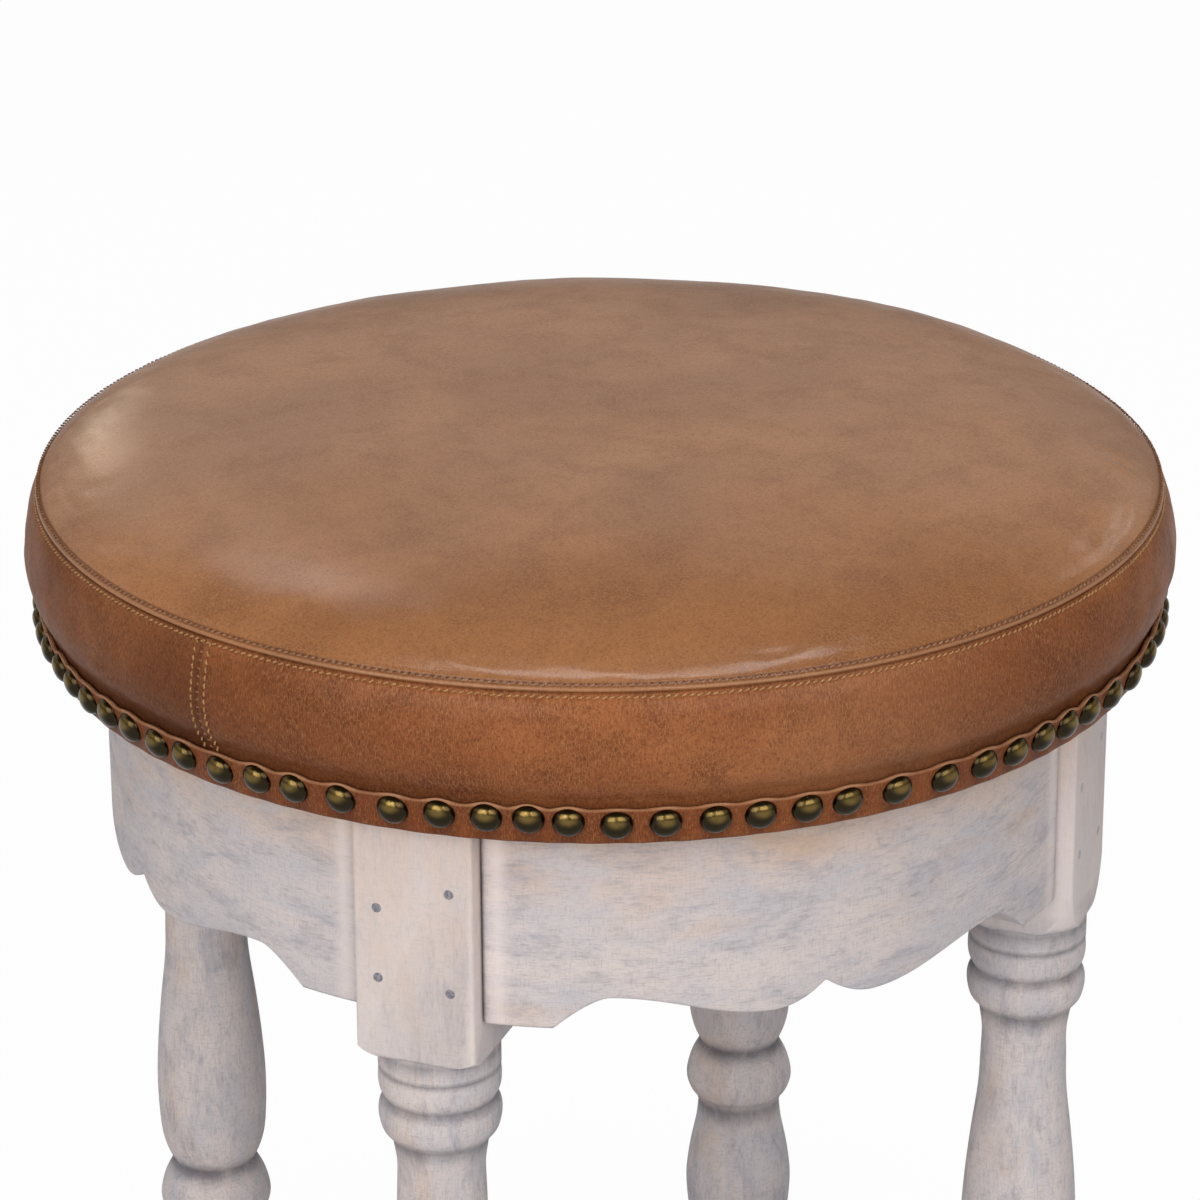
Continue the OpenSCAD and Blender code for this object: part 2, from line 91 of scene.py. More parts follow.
class Nodes:
    """Short calls for the shader nodes of one material, or of the world."""

    def __init__(self, name, kept_in=bpy.data.materials):
        self.owner = kept_in.new(name)
        self.owner.use_nodes = True
        self.tree = self.owner.node_tree
        self.shader = self.tree.nodes.get("Principled BSDF")

    def add(self, kind, inputs=(), **settings):
        node = self.tree.nodes.new(kind)
        for key, value in settings.items():
            setattr(node, key, value)
        for key, value in dict(inputs).items():
            self.feed(node.inputs[key], value)
        return node

    def feed(self, socket, value):
        if isinstance(value, bpy.types.NodeSocket):
            self.tree.links.new(value, socket)
        else:
            socket.default_value = value

    def set(self, **inputs):
        for key, value in inputs.items():
            self.feed(self.shader.inputs[key.replace("_", " ")], value)

    def place(self, scale, uv=None):
        """Object coordinates, or a UV map's, scaled for a pattern, alike or by axis."""
        if isinstance(scale, int):
            scale = (scale, scale, scale)
        if uv:
            source = self.add("ShaderNodeUVMap", uv_map=uv).outputs["UV"]
        else:
            source = self.add("ShaderNodeTexCoord").outputs["Object"]
        mapping = self.add("ShaderNodeMapping", {"Vector": source, "Scale": scale})
        return mapping.outputs["Vector"]

    def noise(self, scale, uv=None, detail=3.0, rough=0.5, warp=0.0):
        node = self.add("ShaderNodeTexNoise", {
            "Vector": self.place(scale, uv), "Scale": 1.0, "Detail": detail, "Roughness": rough,
            "Distortion": warp})
        return node.outputs["Fac"]

    def cells(self, where):
        """Distance to the nearest edge of a net of cells."""
        node = self.add("ShaderNodeTexVoronoi", {"Vector": where, "Scale": 1.0},
                        feature="DISTANCE_TO_EDGE")
        return node.outputs["Distance"]

    def ramp(self, fac, low, high, start=0.0, end=1.0):
        """The value from start to end while fac goes from low to high."""
        node = self.add("ShaderNodeMapRange", {
            "Value": fac, "From Min": low, "From Max": high, "To Min": start, "To Max": end},
            interpolation_type="SMOOTHSTEP")
        return node.outputs["Result"]

    def math(self, operation, a, b=0.0):
        node = self.add("ShaderNodeMath", operation=operation)
        self.feed(node.inputs[0], a)
        self.feed(node.inputs[1], b)
        return node.outputs[0]

    def mix(self, fac, a, b, blend="MIX"):
        node = self.add("ShaderNodeMix", data_type="RGBA", blend_type=blend)
        self.feed(node.inputs["Factor"], fac)
        self.feed(node.inputs["A"], a)
        self.feed(node.inputs["B"], b)
        return node.outputs["Result"]

    def attribute(self, name):
        return self.add("ShaderNodeAttribute", attribute_name=name).outputs["Fac"]

    def bump(self, height, depth, strength=1.0, under=None):
        node = self.add("ShaderNodeBump", {
            "Height": height, "Distance": depth, "Strength": strength})
        if under is not None:
            self.feed(node.inputs["Normal"], under)
        return node.outputs["Normal"]

    def plain(self, pattern, light, dark, rough, depth, strength, span=(0.35, 0.65)):
        """A simple finish: its colour, roughness and bump all follow one pattern."""
        self.set(Base_Color=self.mix(self.ramp(pattern, *span), light, dark),
                 Roughness=self.ramp(pattern, 0.3, 0.7, *rough),
                 Normal=self.bump(pattern, depth, strength))
        return self.owner

    def either(self, choice, first, second):
        node = self.add("ShaderNodeMixShader", {0: choice, 1: first, 2: second})
        return node.outputs["Shader"]

    def seen(self):
        """1 for rays straight from the camera, and 1 for rays that mirror something."""
        rays = self.add("ShaderNodeLightPath").outputs
        return (self.math("MAXIMUM", rays["Is Camera Ray"], rays["Is Transmission Ray"]),
                rays["Is Glossy Ray"])


def grained(along, across, length):
    """Scale of a pattern whose marks run along one axis: 0, 1 or 2."""
    return tuple(length if axis == along else across for axis in range(3))


def whitewash(name, along, uv=None):
    """Whitewash over wood whose grain runs along one axis."""
    n = Nodes(name)

    def marks(across, length, **settings):
        return n.noise(grained(along, across, length), uv, **settings)
    patches = marks(48, 24, detail=5, rough=0.65, warp=0.4)
    warmth = marks(30, 12, detail=5, rough=0.6, warp=0.3)
    smudges = marks(90, 38, detail=6, rough=0.7, warp=0.5)
    dashes = marks(640, 120, detail=4, rough=0.7, warp=0.3)
    fibres = marks(1500, 260, rough=0.6)
    across = marks(230, 1300, rough=0.6)
    pores = marks(1500, 1100, rough=0.7)
    chalk = n.mix(n.ramp(patches, 0.36, 0.64), srgb(218, 213, 218), srgb(236, 224, 221))
    worn = n.math("ADD", n.ramp(warmth, 0.54, 0.72, 0, 0.5),
                  n.math("MULTIPLY", n.attribute("worn"), n.ramp(patches, 0.3, 0.6, 0.25, 0.95)))
    wash = n.mix(worn, chalk, srgb(220, 193, 174))
    smudge = n.ramp(smudges, 0.48, 0.7)
    bluish = n.mix(n.math("MULTIPLY", smudge, 0.44), wash, srgb(173, 171, 183))
    clustered = n.math("MULTIPLY", n.ramp(dashes, 0.46, 0.72), n.ramp(smudges, 0.38, 0.64, 0.15, 1))
    streaked = n.mix(n.math("MULTIPLY", clustered, 0.4), bluish, srgb(132, 130, 141))
    fibred = n.mix(n.ramp(fibres, 0.48, 0.7, 0, 0.3), streaked, srgb(164, 157, 162))
    hatched = n.mix(n.ramp(across, 0.5, 0.72, 0, 0.32), fibred, srgb(172, 163, 163))
    speckled = n.mix(n.ramp(pores, 0.52, 0.75, 0, 0.3), hatched, srgb(158, 150, 152))
    # Lighter towards a near-white: painted light on the leg blocks, and a paler band near each end
    # of an apron.
    lit_and_paled = n.mix(n.attribute("pale_and_painted_light"), speckled, srgb(252, 239, 235))
    # Darker towards a grey-blue: painted shade in the leg grooves, under the blocks, at the apron
    # joints and under the seat.
    painted_shade = n.math("MULTIPLY", n.attribute("painted_shade"), n.ramp(smudges, 0.3, 0.6, 0.65, 1))
    n.set(Base_Color=n.mix(painted_shade, lit_and_paled, srgb(96, 94, 104)),
          Roughness=n.ramp(fibres, 0.3, 0.7, 0.62, 0.82))
    grain = n.bump(fibres, 0.2 * MM, 0.4)
    n.set(Normal=n.bump(dashes, 0.4 * MM, 0.35, grain), Specular_IOR_Level=0.25)
    return n.owner


upright_wash = whitewash("whitewash_upright_grain", along=2)

leg_w = 47 * MM
block_h = 102 * MM
block_arris = 1.4 * MM
pommel_rise = 6 * MM
long_pommel_rise = 32 * MM
shoulder_ledge = 0.15 * MM
groove_edge = 0.35 * MM
leg_steps = 80
leg_low, leg_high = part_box("leg_front_left")
block_z = leg_high.z - block_h
turning_h = block_z - leg_low.z
leg_radius = math.hypot((leg_low.x + leg_high.x) / 2, (leg_low.y + leg_high.y) / 2)

collar_shares = [(0, 0.983), (0.033, 0.983)]
upper_ring_shares = [(0.0335, 0.955), (0.038, 0.975), (0.052, 0.987), (0.066, 0.965),
                     (0.079, 0.889)]
lower_ring_shares = [(0.079, 0.889), (0.09, 0.972), (0.105, 0.989), (0.123, 0.943), (0.132, 0.868),
                     (0.141, 0.779)]
vase_shares = [(0.141, 0.779), (0.156, 0.749), (0.181, 0.711), (0.219, 0.723), (0.271, 0.749),
               (0.34, 0.851), (0.41, 0.936), (0.479, 0.979), (0.549, 0.945), (0.583, 0.86),
               (0.608, 0.723)]
ball_shares = [(0.608, 0.723), (0.618, 0.809), (0.639, 0.928), (0.667, 0.998), (0.688, 0.928),
               (0.698, 0.83), (0.714, 0.769)]
foot_shares = [(0.714, 0.769), (0.747, 0.813), (0.788, 0.915), (0.826, 0.983), (0.854, 1),
               (0.891, 0.968), (0.917, 0.91), (0.948, 0.8), (0.976, 0.68), (1, 0.62)]
groove_shares = [(0.0335, 0.005, 0.6), (0.079, 0.008, 0.62), (0.141, 0.014, 0.6),
                 (0.608, 0.012, 0.8), (0.712, 0.016, 0.7)]


def smooth_run(points, steps):
    """Points along the smooth curve through the given ones."""
    run = []
    for i in range(len(points) - 1):
        a, b, c, d = (points[min(max(k, 0), len(points) - 1)] for k in range(i - 1, i + 3))
        for k in range(steps):
            t = k / steps
            run.append(tuple(
                (2 * q + (r - p) * t + (2 * p - 5 * q + 4 * r - s) * t * t
                 + (3 * q - p - 3 * r + s) * t ** 3) / 2 for p, q, r, s in zip(a, b, c, d)))
    run.append(tuple(points[-1]))
    return run


def bell(away, width):
    """1 at a place, falling away to nothing on both sides of it."""
    return math.exp(-(away / width) ** 2)


def polar(place):
    """Radius of a place and its angle round the stool."""
    return math.hypot(place.x, place.y), math.atan2(place.y, place.x)


def pick(*pieces):
    """Selects these pieces alone, the first of them active."""
    bpy.ops.object.select_all(action="DESELECT")
    for piece in pieces:
        piece.select_set(True)
    bpy.context.view_layer.objects.active = pieces[0]


def joined(name, pieces):
    pick(*pieces)
    bpy.ops.object.join()
    pieces[0].name = name
    return pieces[0]


def set_out(angle, radius, side=0, up=0):
    """Matrix that sets a piece out from the stool's axis at an angle round it."""
    return Matrix.Rotation(angle, 4, "Z") @ Matrix.Translation((radius, side, up))


def turned_copy(piece, place):
    copy = piece.copy()
    copy.data = piece.data.copy()
    bpy.context.collection.objects.link(copy)
    copy.data.transform(place)
    return copy


def spun(name, profile, steps, closed=False, sectors=1):
    """Solid or shell turned about the Z axis from a profile of (radius, height) points. A fine one
    is spun as one sector, which is then copied round."""
    points = [Vector((radius, 0, height)) for radius, height in profile]
    if closed:
        points.append(points[0])
    bpy.ops.mesh.primitive_plane_add(size=MM)
    piece = bpy.context.object
    piece.name = name
    bpy.ops.object.mode_set(mode="EDIT")
    bpy.ops.mesh.select_mode(type="VERT")
    bpy.ops.mesh.select_all(action="SELECT")
    bpy.ops.mesh.merge(type="CENTER")
    bpy.ops.transform.translate(value=points[0])
    for here, there in zip(points, points[1:]):
        bpy.ops.mesh.extrude_region_move(TRANSFORM_OT_translate={"value": there - here})
    bpy.ops.mesh.select_all(action="SELECT")
    bpy.ops.mesh.spin(steps=steps // sectors, angle=2 * math.pi / sectors, center=(0, 0, 0),
                      axis=(0, 0, 1))
    bpy.ops.object.mode_set(mode="OBJECT")
    piece.data.transform(piece.matrix_basis)
    piece.matrix_basis = Matrix.Identity(4)
    copies = [turned_copy(piece, Matrix.Rotation(2 * math.pi * k / sectors, 4, "Z"))
              for k in range(1, sectors)]
    piece = joined(name, [piece] + copies)
    bpy.ops.object.mode_set(mode="EDIT")
    bpy.ops.mesh.select_all(action="SELECT")
    bpy.ops.mesh.remove_doubles(threshold=0.005 * MM)
    bpy.ops.mesh.normals_make_consistent(inside=False)
    bpy.ops.object.mode_set(mode="OBJECT")
    return piece


def apply_modifier(piece, kind, **settings):
    modifier = piece.modifiers.new(kind.lower(), kind)
    for key, value in settings.items():
        setattr(modifier, key, value)
    pick(piece)
    bpy.ops.object.modifier_apply(modifier=modifier.name)


def smooth(piece, degrees):
    """Smooth shading, with edges sharper than this left crisp."""
    pick(piece)
    bpy.ops.object.shade_smooth_by_angle(angle=math.radians(degrees))


def point_attribute(piece, name, value_at):
    """A value for each vertex, worked out from its place."""
    layer = piece.data.attributes.new(name, "FLOAT", "POINT")
    for vertex, entry in zip(piece.data.vertices, layer.data):
        entry.value = value_at(vertex.co)


def finish_piece(piece, material, slot, *nodes):
    piece.data.materials.clear()
    piece.data.materials.append(material)
    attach(piece, "root")
    if nodes:
        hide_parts(*nodes)


def leg_block(rise):
    """Square block of a leg: arrises softened, lower corners turned away up to a rise."""
    half = leg_w / 2
    bpy.ops.mesh.primitive_cube_add(size=1, location=(0, 0, block_z + block_h / 2))
    block = bpy.context.object
    block.scale = (leg_w, leg_w, block_h)
    bpy.ops.object.transform_apply(location=True, rotation=False, scale=True)
    bpy.ops.object.mode_set(mode="EDIT")
    bpy.ops.mesh.select_all(action="DESELECT")
    bpy.ops.object.mode_set(mode="OBJECT")
    for edge in block.data.edges:
        ends = [block.data.vertices[i].co for i in edge.vertices]
        edge.select = abs(ends[0].z - ends[1].z) > block_h / 2
    bpy.ops.object.mode_set(mode="EDIT")
    bpy.ops.mesh.select_mode(type="EDGE")
    bpy.ops.mesh.bevel(offset=block_arris, segments=3, affect="EDGES")
    bpy.ops.object.mode_set(mode="OBJECT")
    collar_r = collar_shares[0][1] * half + shoulder_ledge
    corner_r = half * math.sqrt(2) + shoulder_ledge
    turns = [math.pi / 2 * k / 10 for k in range(1, 11)]
    envelope = spun("envelope", [(0, block_z), (collar_r, block_z)]
                    + [(collar_r + (corner_r - collar_r) * math.sin(a),
                        block_z + rise * (1 - math.cos(a))) for a in turns]
                    + [(corner_r, leg_high.z + MM), (0, leg_high.z + MM)], leg_steps)
    apply_modifier(block, "BOOLEAN", operation="INTERSECT", object=envelope, solver="EXACT")
    bpy.data.objects.remove(envelope)
    return block


def turned_leg(name, rise, angle):
    """One leg: the turning joined to its block, stood in its place in the frame."""
    profile = [(0, block_z + MM), (collar_shares[0][1] * leg_w / 2, block_z + MM)]
    for run in (collar_shares, upper_ring_shares, lower_ring_shares, vase_shares, ball_shares,
                foot_shares):
        profile += [(share * leg_w / 2, block_z - down * turning_h)
                    for down, share in smooth_run(run, 4)]
    profile.append((0, leg_low.z))
    leg = spun(name, profile, leg_steps)
    block = leg_block(rise)
    apply_modifier(leg, "BOOLEAN", operation="UNION", object=block, solver="EXACT")
    bpy.data.objects.remove(block)
    apply_modifier(leg, "BEVEL", width=groove_edge, segments=2, limit_method="ANGLE",
                   angle_limit=math.radians(40), use_clamp_overlap=True)
    smooth(leg, 35)

    # Painted shade: darker in the turned grooves and just below the square block.
    def painted_shade(place):
        down = (block_z - place.z) / turning_h
        groove_shade = max(depth * bell(down - at, width) for at, width, depth in groove_shares)
        under_block = 0.55 * bell(place.z - block_z + 2 * MM, 3 * MM)
        return min(1, max(groove_shade, under_block))
    point_attribute(leg, "painted_shade", painted_shade)
    # Painted light: the square block lighter, most near its lower edge, where it would fall into
    # shade.
    point_attribute(leg, "pale_and_painted_light", lambda p: min(1, max(0, (p.z - block_z) / (4 * MM)))
                    * (0.8 - 0.45 * (p.z - block_z) / block_h))
    point_attribute(leg, "worn", lambda p: bell(leg_high.z - p.z, 26 * MM))
    leg.data.transform(set_out(math.radians(angle), leg_radius))
    return leg


leg_angles = {"front_left": 225, "front_right": 315, "rear_right": 45, "rear_left": 135}
for corner, angle in leg_angles.items():
    rise = long_pommel_rise if corner == "front_right" else pommel_rise
    finish_piece(turned_leg("turned_leg_" + corner, rise, angle), upright_wash,
                 "whitewashed_wood", "leg_" + corner)


# Curved aprons: four rails steamed to the seat's round, tenoned between the leg blocks, their lower
# edges sawn to a shallow lobe each side of a pointed notch, with a peak near each end.
apron_low, apron_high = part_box("apron_right")
apron_r = apron_high.x
apron_t = 22 * MM
apron_z = apron_low.z
cusp_rise = 10.9 * MM
lobe_rise = 2.2 * MM
peak_rise = 12.6 * MM
lobe_share = 0.175
peak_share = 0.67
tab_share = 0.82
apron_edge = 1.5 * MM
joint_gap = 0.7 * MM
apron_columns = 180
apron_rows = 10


def scallop(share):
    """Rise of the lower edge at a share of the way from the middle to the leg."""
    if share < lobe_share:
        return lobe_rise + (cusp_rise - lobe_rise) * (1 - share / lobe_share) ** 2
    if share < peak_share:
        t = (share - lobe_share) / (peak_share - lobe_share)
        return lobe_rise + (peak_rise - lobe_rise) * (1 - math.cos(math.pi * t)) / 2
    if share < tab_share:
        return peak_rise * (1 - ((share - peak_share) / (tab_share - peak_share)) ** 1.5)
    return 0


def surface_map(piece, place_of):
    """UV map in metres from each vertex's place, one face at a time."""
    layer = piece.data.uv_layers.new(name="surface")
    for polygon in piece.data.polygons:
        for loop in polygon.loop_indices:
            u, v = place_of(piece.data.vertices[piece.data.loops[loop].vertex_index].co)
            layer.data[loop].uv = (u, v)


level_wash = whitewash("whitewash_level_grain", along=0, uv="surface")


def curved_apron(name, angle):
    half_angle = math.pi / 4 - math.asin(leg_w / 2 / apron_r) - joint_gap / apron_r
    bpy.ops.mesh.primitive_grid_add(x_subdivisions=apron_columns, y_subdivisions=apron_rows, size=2)
    apron = bpy.context.object
    apron.name = name
    half_chord = apron_r * math.sin(half_angle)
    for vertex in apron.data.vertices:
        turn_share, height_share = vertex.co.x, (vertex.co.y + 1) / 2
        a = turn_share * half_angle
        bottom = apron_z + scallop(abs(apron_r * math.sin(a)) / half_chord)
        vertex.co = (apron_r * math.cos(a), apron_r * math.sin(a),
                     bottom + (apron_high.z - bottom) * height_share)
    apply_modifier(apron, "SOLIDIFY", thickness=apron_t, offset=-1, use_even_offset=False)
    apply_modifier(apron, "BEVEL", width=apron_edge, segments=3, limit_method="ANGLE",
                   angle_limit=math.radians(50), use_clamp_overlap=True)
    smooth(apron, 40)

    # Painted shade: a dark line where the apron meets the leg block, and darker strips along the
    # top under the seat and along the lower edge.
    def painted_shade(place):
        a = abs(polar(place)[1])
        at_joint = 0.9 * bell((half_angle - a) * apron_r, 1.1 * MM)
        at_top = 0.3 * bell(apron_high.z - place.z, 3 * MM)
        under = 0.25 if place.z < apron_z + 1 * MM else 0
        return min(1, max(at_joint, at_top, under))

    def pale_and_painted_light(place):
        from_end = (half_angle - abs(polar(place)[1])) * apron_r
        return 0.6 * bell(from_end - 6 * MM, 3.5 * MM)
    point_attribute(apron, "painted_shade", painted_shade)
    point_attribute(apron, "pale_and_painted_light", pale_and_painted_light)
    point_attribute(apron, "worn", lambda p: bell(apron_high.z - p.z, 24 * MM))
    surface_map(apron, lambda p: ((polar(p)[1] + math.radians(angle)) * apron_r,
                                  p.z + polar(p)[0]))
    apron.data.transform(Matrix.Rotation(math.radians(angle), 4, "Z"))
    return apron


for side, angle in {"front": 270, "right": 0, "rear": 90, "left": 180}.items():
    finish_piece(curved_apron("curved_apron_" + side, angle), level_wash,
                 "whitewashed_wood", "apron_" + side)


# Draw-bore pegs: four dowels driven through each leg block into the tenons, their ends planed
# flush, stained grey on the front left leg and covered by the wash on the others.
peg_r = 1.9 * MM
peg_l = 24 * MM
peg_side = leg_w / 2 - 9.3 * MM
peg_proud = 0.12 * MM
block_face_r = leg_radius + leg_w / 2
left_peg_shares = (0.475, 0.81)
right_peg_shares = (0.36, 0.835)


def grey_peg():
    n = Nodes("grey_peg_wood")
    rings = n.noise(700)
    tone = n.mix(n.ramp(rings, 0.35, 0.65), srgb(120, 121, 132), srgb(162, 160, 168))
    n.set(Base_Color=n.mix(n.attribute("washed"), tone, srgb(206, 198, 202)),
          Roughness=n.ramp(rings, 0.3, 0.7, 0.7, 0.85), Normal=n.bump(rings, 0.15 * MM, 0.5))
    return n.owner


apron_h = apron_high.z - apron_low.z
peg_profile = [(0, 0), (peg_r, 0), (peg_r, peg_l - peg_proud), (peg_r * 0.8, peg_l), (0, peg_l)]
first_peg = spun("peg", peg_profile, 20)
pegs = []
for angle in leg_angles.values():
    for side, shares in ((-1, left_peg_shares), (1, right_peg_shares)):
        for share in shares:
            pegs.append(turned_copy(
                first_peg, set_out(math.radians(angle), block_face_r + peg_proud - peg_l,
                                   side * peg_side, apron_high.z - share * apron_h)
                @ Matrix.Rotation(math.pi / 2, 4, "Y")))
bpy.data.objects.remove(first_peg)
pegs = joined("peg_ends", pegs)
smooth(pegs, 30)
point_attribute(pegs, "washed", lambda p: 0 if p.x < 0 and p.y < 0 else 0.9)
finish_piece(pegs, grey_peg(), "peg_wood", "draw_bore_pegs")


# Corner blocks and screws: raw wood blocks glued and screwed behind each leg, with zinc screws,
# and a plywood seat board that the blocks' middle screws hold down.
def raw_wood(name, light, dark, along):
    n = Nodes(name)
    rings = n.noise(grained(along, 160, 12), detail=4, rough=0.6, warp=0.6)
    fibres = n.noise(grained(along, 900, 60))
    tone = n.mix(n.ramp(rings, 0.35, 0.65), light, dark)
    n.set(Base_Color=n.mix(n.ramp(fibres, 0.45, 0.7, 0, 0.3), tone, dark),
          Roughness=n.ramp(fibres, 0.3, 0.7, 0.6, 0.8), Normal=n.bump(fibres, 0.2 * MM, 0.5))
    return n.owner


def zinc():
    n = Nodes("zinc_plate")
    n.set(Metallic=1)
    return n.plain(n.noise(900), srgb(176, 178, 182), srgb(205, 206, 208), (0.25, 0.42),
                   0.05 * MM, 0.3)


def dress(node, material):
    """A CAD node that keeps its shape gets its finish."""
    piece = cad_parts[node]
    piece.data.materials.clear()
    piece.data.materials.append(material)


block_wood = raw_wood("raw_block_wood", srgb(196, 168, 128), srgb(158, 126, 86), 0)
ply_wood = raw_wood("plywood", srgb(206, 178, 136), srgb(170, 134, 92), 2)
zinc_plate = zinc()
for corner in leg_angles:
    dress("corner_block_" + corner, block_wood)
for node in ("corner_block_screws", "seat_screws", "leather_staples", "dust_cover_staples"):
    dress(node, zinc_plate)
dress("seat_board", ply_wood)


# Foot glides: hard plastic discs pinned under each leg.
def glide_plastic():
    n = Nodes("glide_plastic")
    scuffs = n.noise((300, 300, 900), detail=4, rough=0.7)
    return n.plain(scuffs, srgb(214, 210, 203), srgb(188, 183, 176), (0.4, 0.6), 0.1 * MM, 0.4,
                   span=(0.4, 0.7))


glide_low, glide_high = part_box("foot_glide_front_left")
glide_r = (glide_high.x - glide_low.x) / 2
glide_h = leg_low.z
glide_edge = 0.9 * MM
glide_pin_r = 1.5 * MM
glide_finish = glide_plastic()
glide_profile = [(0, 0), (glide_r - glide_edge, 0), (glide_r - glide_edge * 0.3, glide_edge * 0.3),
                 (glide_r, glide_edge), (glide_r, glide_h), (glide_pin_r, glide_h),
                 (glide_pin_r, glide_high.z - glide_pin_r), (0, glide_high.z)]
for corner, angle in leg_angles.items():
    glide = spun("glide_" + corner, glide_profile, 48)
    glide.data.transform(set_out(math.radians(angle), leg_radius))
    smooth(glide, 40)
    finish_piece(glide, glide_finish, "glide_plastic", "foot_glide_" + corner)


# Filling: a foam pad on the board with its top edge rounded off, under a wrap of wadding. The dome
# that the pad, the wadding and the leather share is worked out here, with the swells and tucks of
# the stuffed seat and the side that was drawn in tightest.
board_top_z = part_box("seat_board")[1].z
foam_low, foam_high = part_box("foam_pad")
panel_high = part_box("leather_top_panel")[1]
leather_t = 1.4 * MM
crown_h = 24 * MM
crown_power = 6
foam_drop = 27 * MM
foam_r = foam_high.x
seam_r = panel_high.x
seam_z = panel_high.z - crown_h
inner_seam_r = seam_r - 2 * leather_t
dome_out_power = 3.0
dome_up_power = 2.0
squeeze_in = 3.0 * MM
squeeze_w = math.radians(30)


def seen_at(degrees):
    """Angle round the seat, so many degrees to the right of the side nearest to the camera."""
    return view_azimuth - math.pi / 2 + math.radians(degrees)


squeeze_angle = seen_at(118)


def crown(radius, rim_r, top_z, rise):
    return top_z - rise * (radius / rim_r) ** crown_power


def crown_profile(rim_r, top_z, rise, steps=30):
    """Points of the dome from its middle to its rim, closer together towards the rim."""
    radii = [rim_r * math.sin(math.pi / 2 * k / steps) for k in range(steps + 1)]
    return [(radius, crown(radius, rim_r, top_z, rise)) for radius in radii]


def filling(name, light, dark, cell):
    n = Nodes(name)
    pores = n.noise(cell, detail=4, rough=0.7)
    return n.plain(pores, light, dark, (0.85, 0.95), 0.6 * MM, 0.7)


def dome_point(t):
    """Radius and height of the dome from its crown, at 0, to the seam, at 1."""
    a = t * math.pi / 2
    return (seam_r * math.sin(a) ** (2 / dome_out_power),
            seam_z + crown_h * math.cos(a) ** (2 / dome_up_power))


def around(angle, centre):
    return (angle - centre + math.pi) % (2 * math.pi) - math.pi


def out_of_round(angle):
    """The seat is pulled in a little where the cover was drawn tightest."""
    return -squeeze_in * bell(around(angle, squeeze_angle), squeeze_w)


def wrinkle(x, y, z, scale, seed):
    return noise.noise(Vector((x * scale + seed, y * scale - seed, z * scale)))


def move_out(vertex, radius):
    """Moves a vertex level and straight out, or in, to a radius."""
    share = radius / polar(vertex.co)[0]
    vertex.co.x *= share
    vertex.co.y *= share


tuck_angle = seen_at(82)
tucks = [(tuck_angle + 0.075, 203 * MM), (tuck_angle + 0.035, 205 * MM),
         (tuck_angle - 0.01, 204 * MM)]
tuck_h = 0.55 * MM
tuck_w = 1.6 * MM
tuck_l = 7 * MM
swell_h = 1.0 * MM
pucker_h = 0.45 * MM
rim_swell_h = 1.2 * MM


def top_relief(radius, angle, above):
    """Swells, puckers and tucks that stand off the even dome."""
    x, y = math.cos(angle), math.sin(angle)
    rim = min(1, radius / seam_r) ** 10
    swell = swell_h * wrinkle(radius * x, radius * y, 0, 13, 11)
    puckers = pucker_h * wrinkle(x, y, above * 30, 15, 3) * rim
    soft = rim_swell_h * wrinkle(x, y, above * 8, 4, 6) * rim
    ridge = 0
    for tuck, at in tucks:
        along = around(angle, tuck) * radius
        out = radius - at
        across = along * 0.86 + out * 0.5
        down = out * 0.86 - along * 0.5
        ridge += tuck_h * math.exp(-(across / tuck_w) ** 2 - (down / tuck_l) ** 2)
    return swell + puckers + soft + ridge


def squeeze_share(radius, z):
    """How much of the drawn-in side reaches a place: all of it at the seam."""
    if z < seam_z:
        return max(0, (z - board_top_z) / (seam_z - board_top_z)) ** 0.8
    return (radius / seam_r) ** 6


def draped(piece):
    """The swells and tucks of the cover, and the drawn-in side, given to a piece of the seat."""
    for vertex in piece.data.vertices:
        radius, angle = polar(vertex.co)
        if radius < 1 * MM:
            continue
        above = max(0, vertex.co.z - seam_z)
        level = (radius / seam_r) ** dome_out_power + (above / crown_h) ** dome_up_power
        moved = radius + out_of_round(angle) * squeeze_share(radius, vertex.co.z)
        if level > 0.6:
            out = dome_out_power * (radius / seam_r) ** (dome_out_power - 1) / seam_r
            up = dome_up_power * (above / crown_h) ** (dome_up_power - 1) / crown_h
            length = math.hypot(out, up)
            shift = min(0.6 * MM, top_relief(radius, angle, above) - 0.5 * MM)
            shift *= min(1, max(0, above - 3.5 * MM) / (5 * MM))
            moved += shift * out / length
            vertex.co.z += shift * up / length
        move_out(vertex, moved)


foam = spun("foam_block", crown_profile(foam_r, foam_high.z, foam_drop) + [
    (foam_r, foam_low.z), (0, foam_low.z)], 128)
draped(foam)
smooth(foam, 40)
finish_piece(foam, filling("open_cell_foam", srgb(232, 218, 140), srgb(214, 196, 112), 900),
             "foam", "foam_pad")

widest_r = seat_high.x
bulge_shares = [(0.3104, 0.4475), (0.42, 0.80), (0.58, 1), (0.74, 0.93), (0.9, 0.7355), (1, 0.441)]
strip_lean = 4 / 17
band_foot_r = 215.2 * MM
band_h = seam_z - seat_low.z


def band_curve(inset):
    """Radius and height of the band's face from the seat's bottom edge up, less an inset."""
    return [(band_foot_r - inset, seat_low.z)] + [
        (band_foot_r + out * (widest_r - band_foot_r) - inset, seat_low.z + up * band_h)
        for up, out in smooth_run(bulge_shares, 6)]


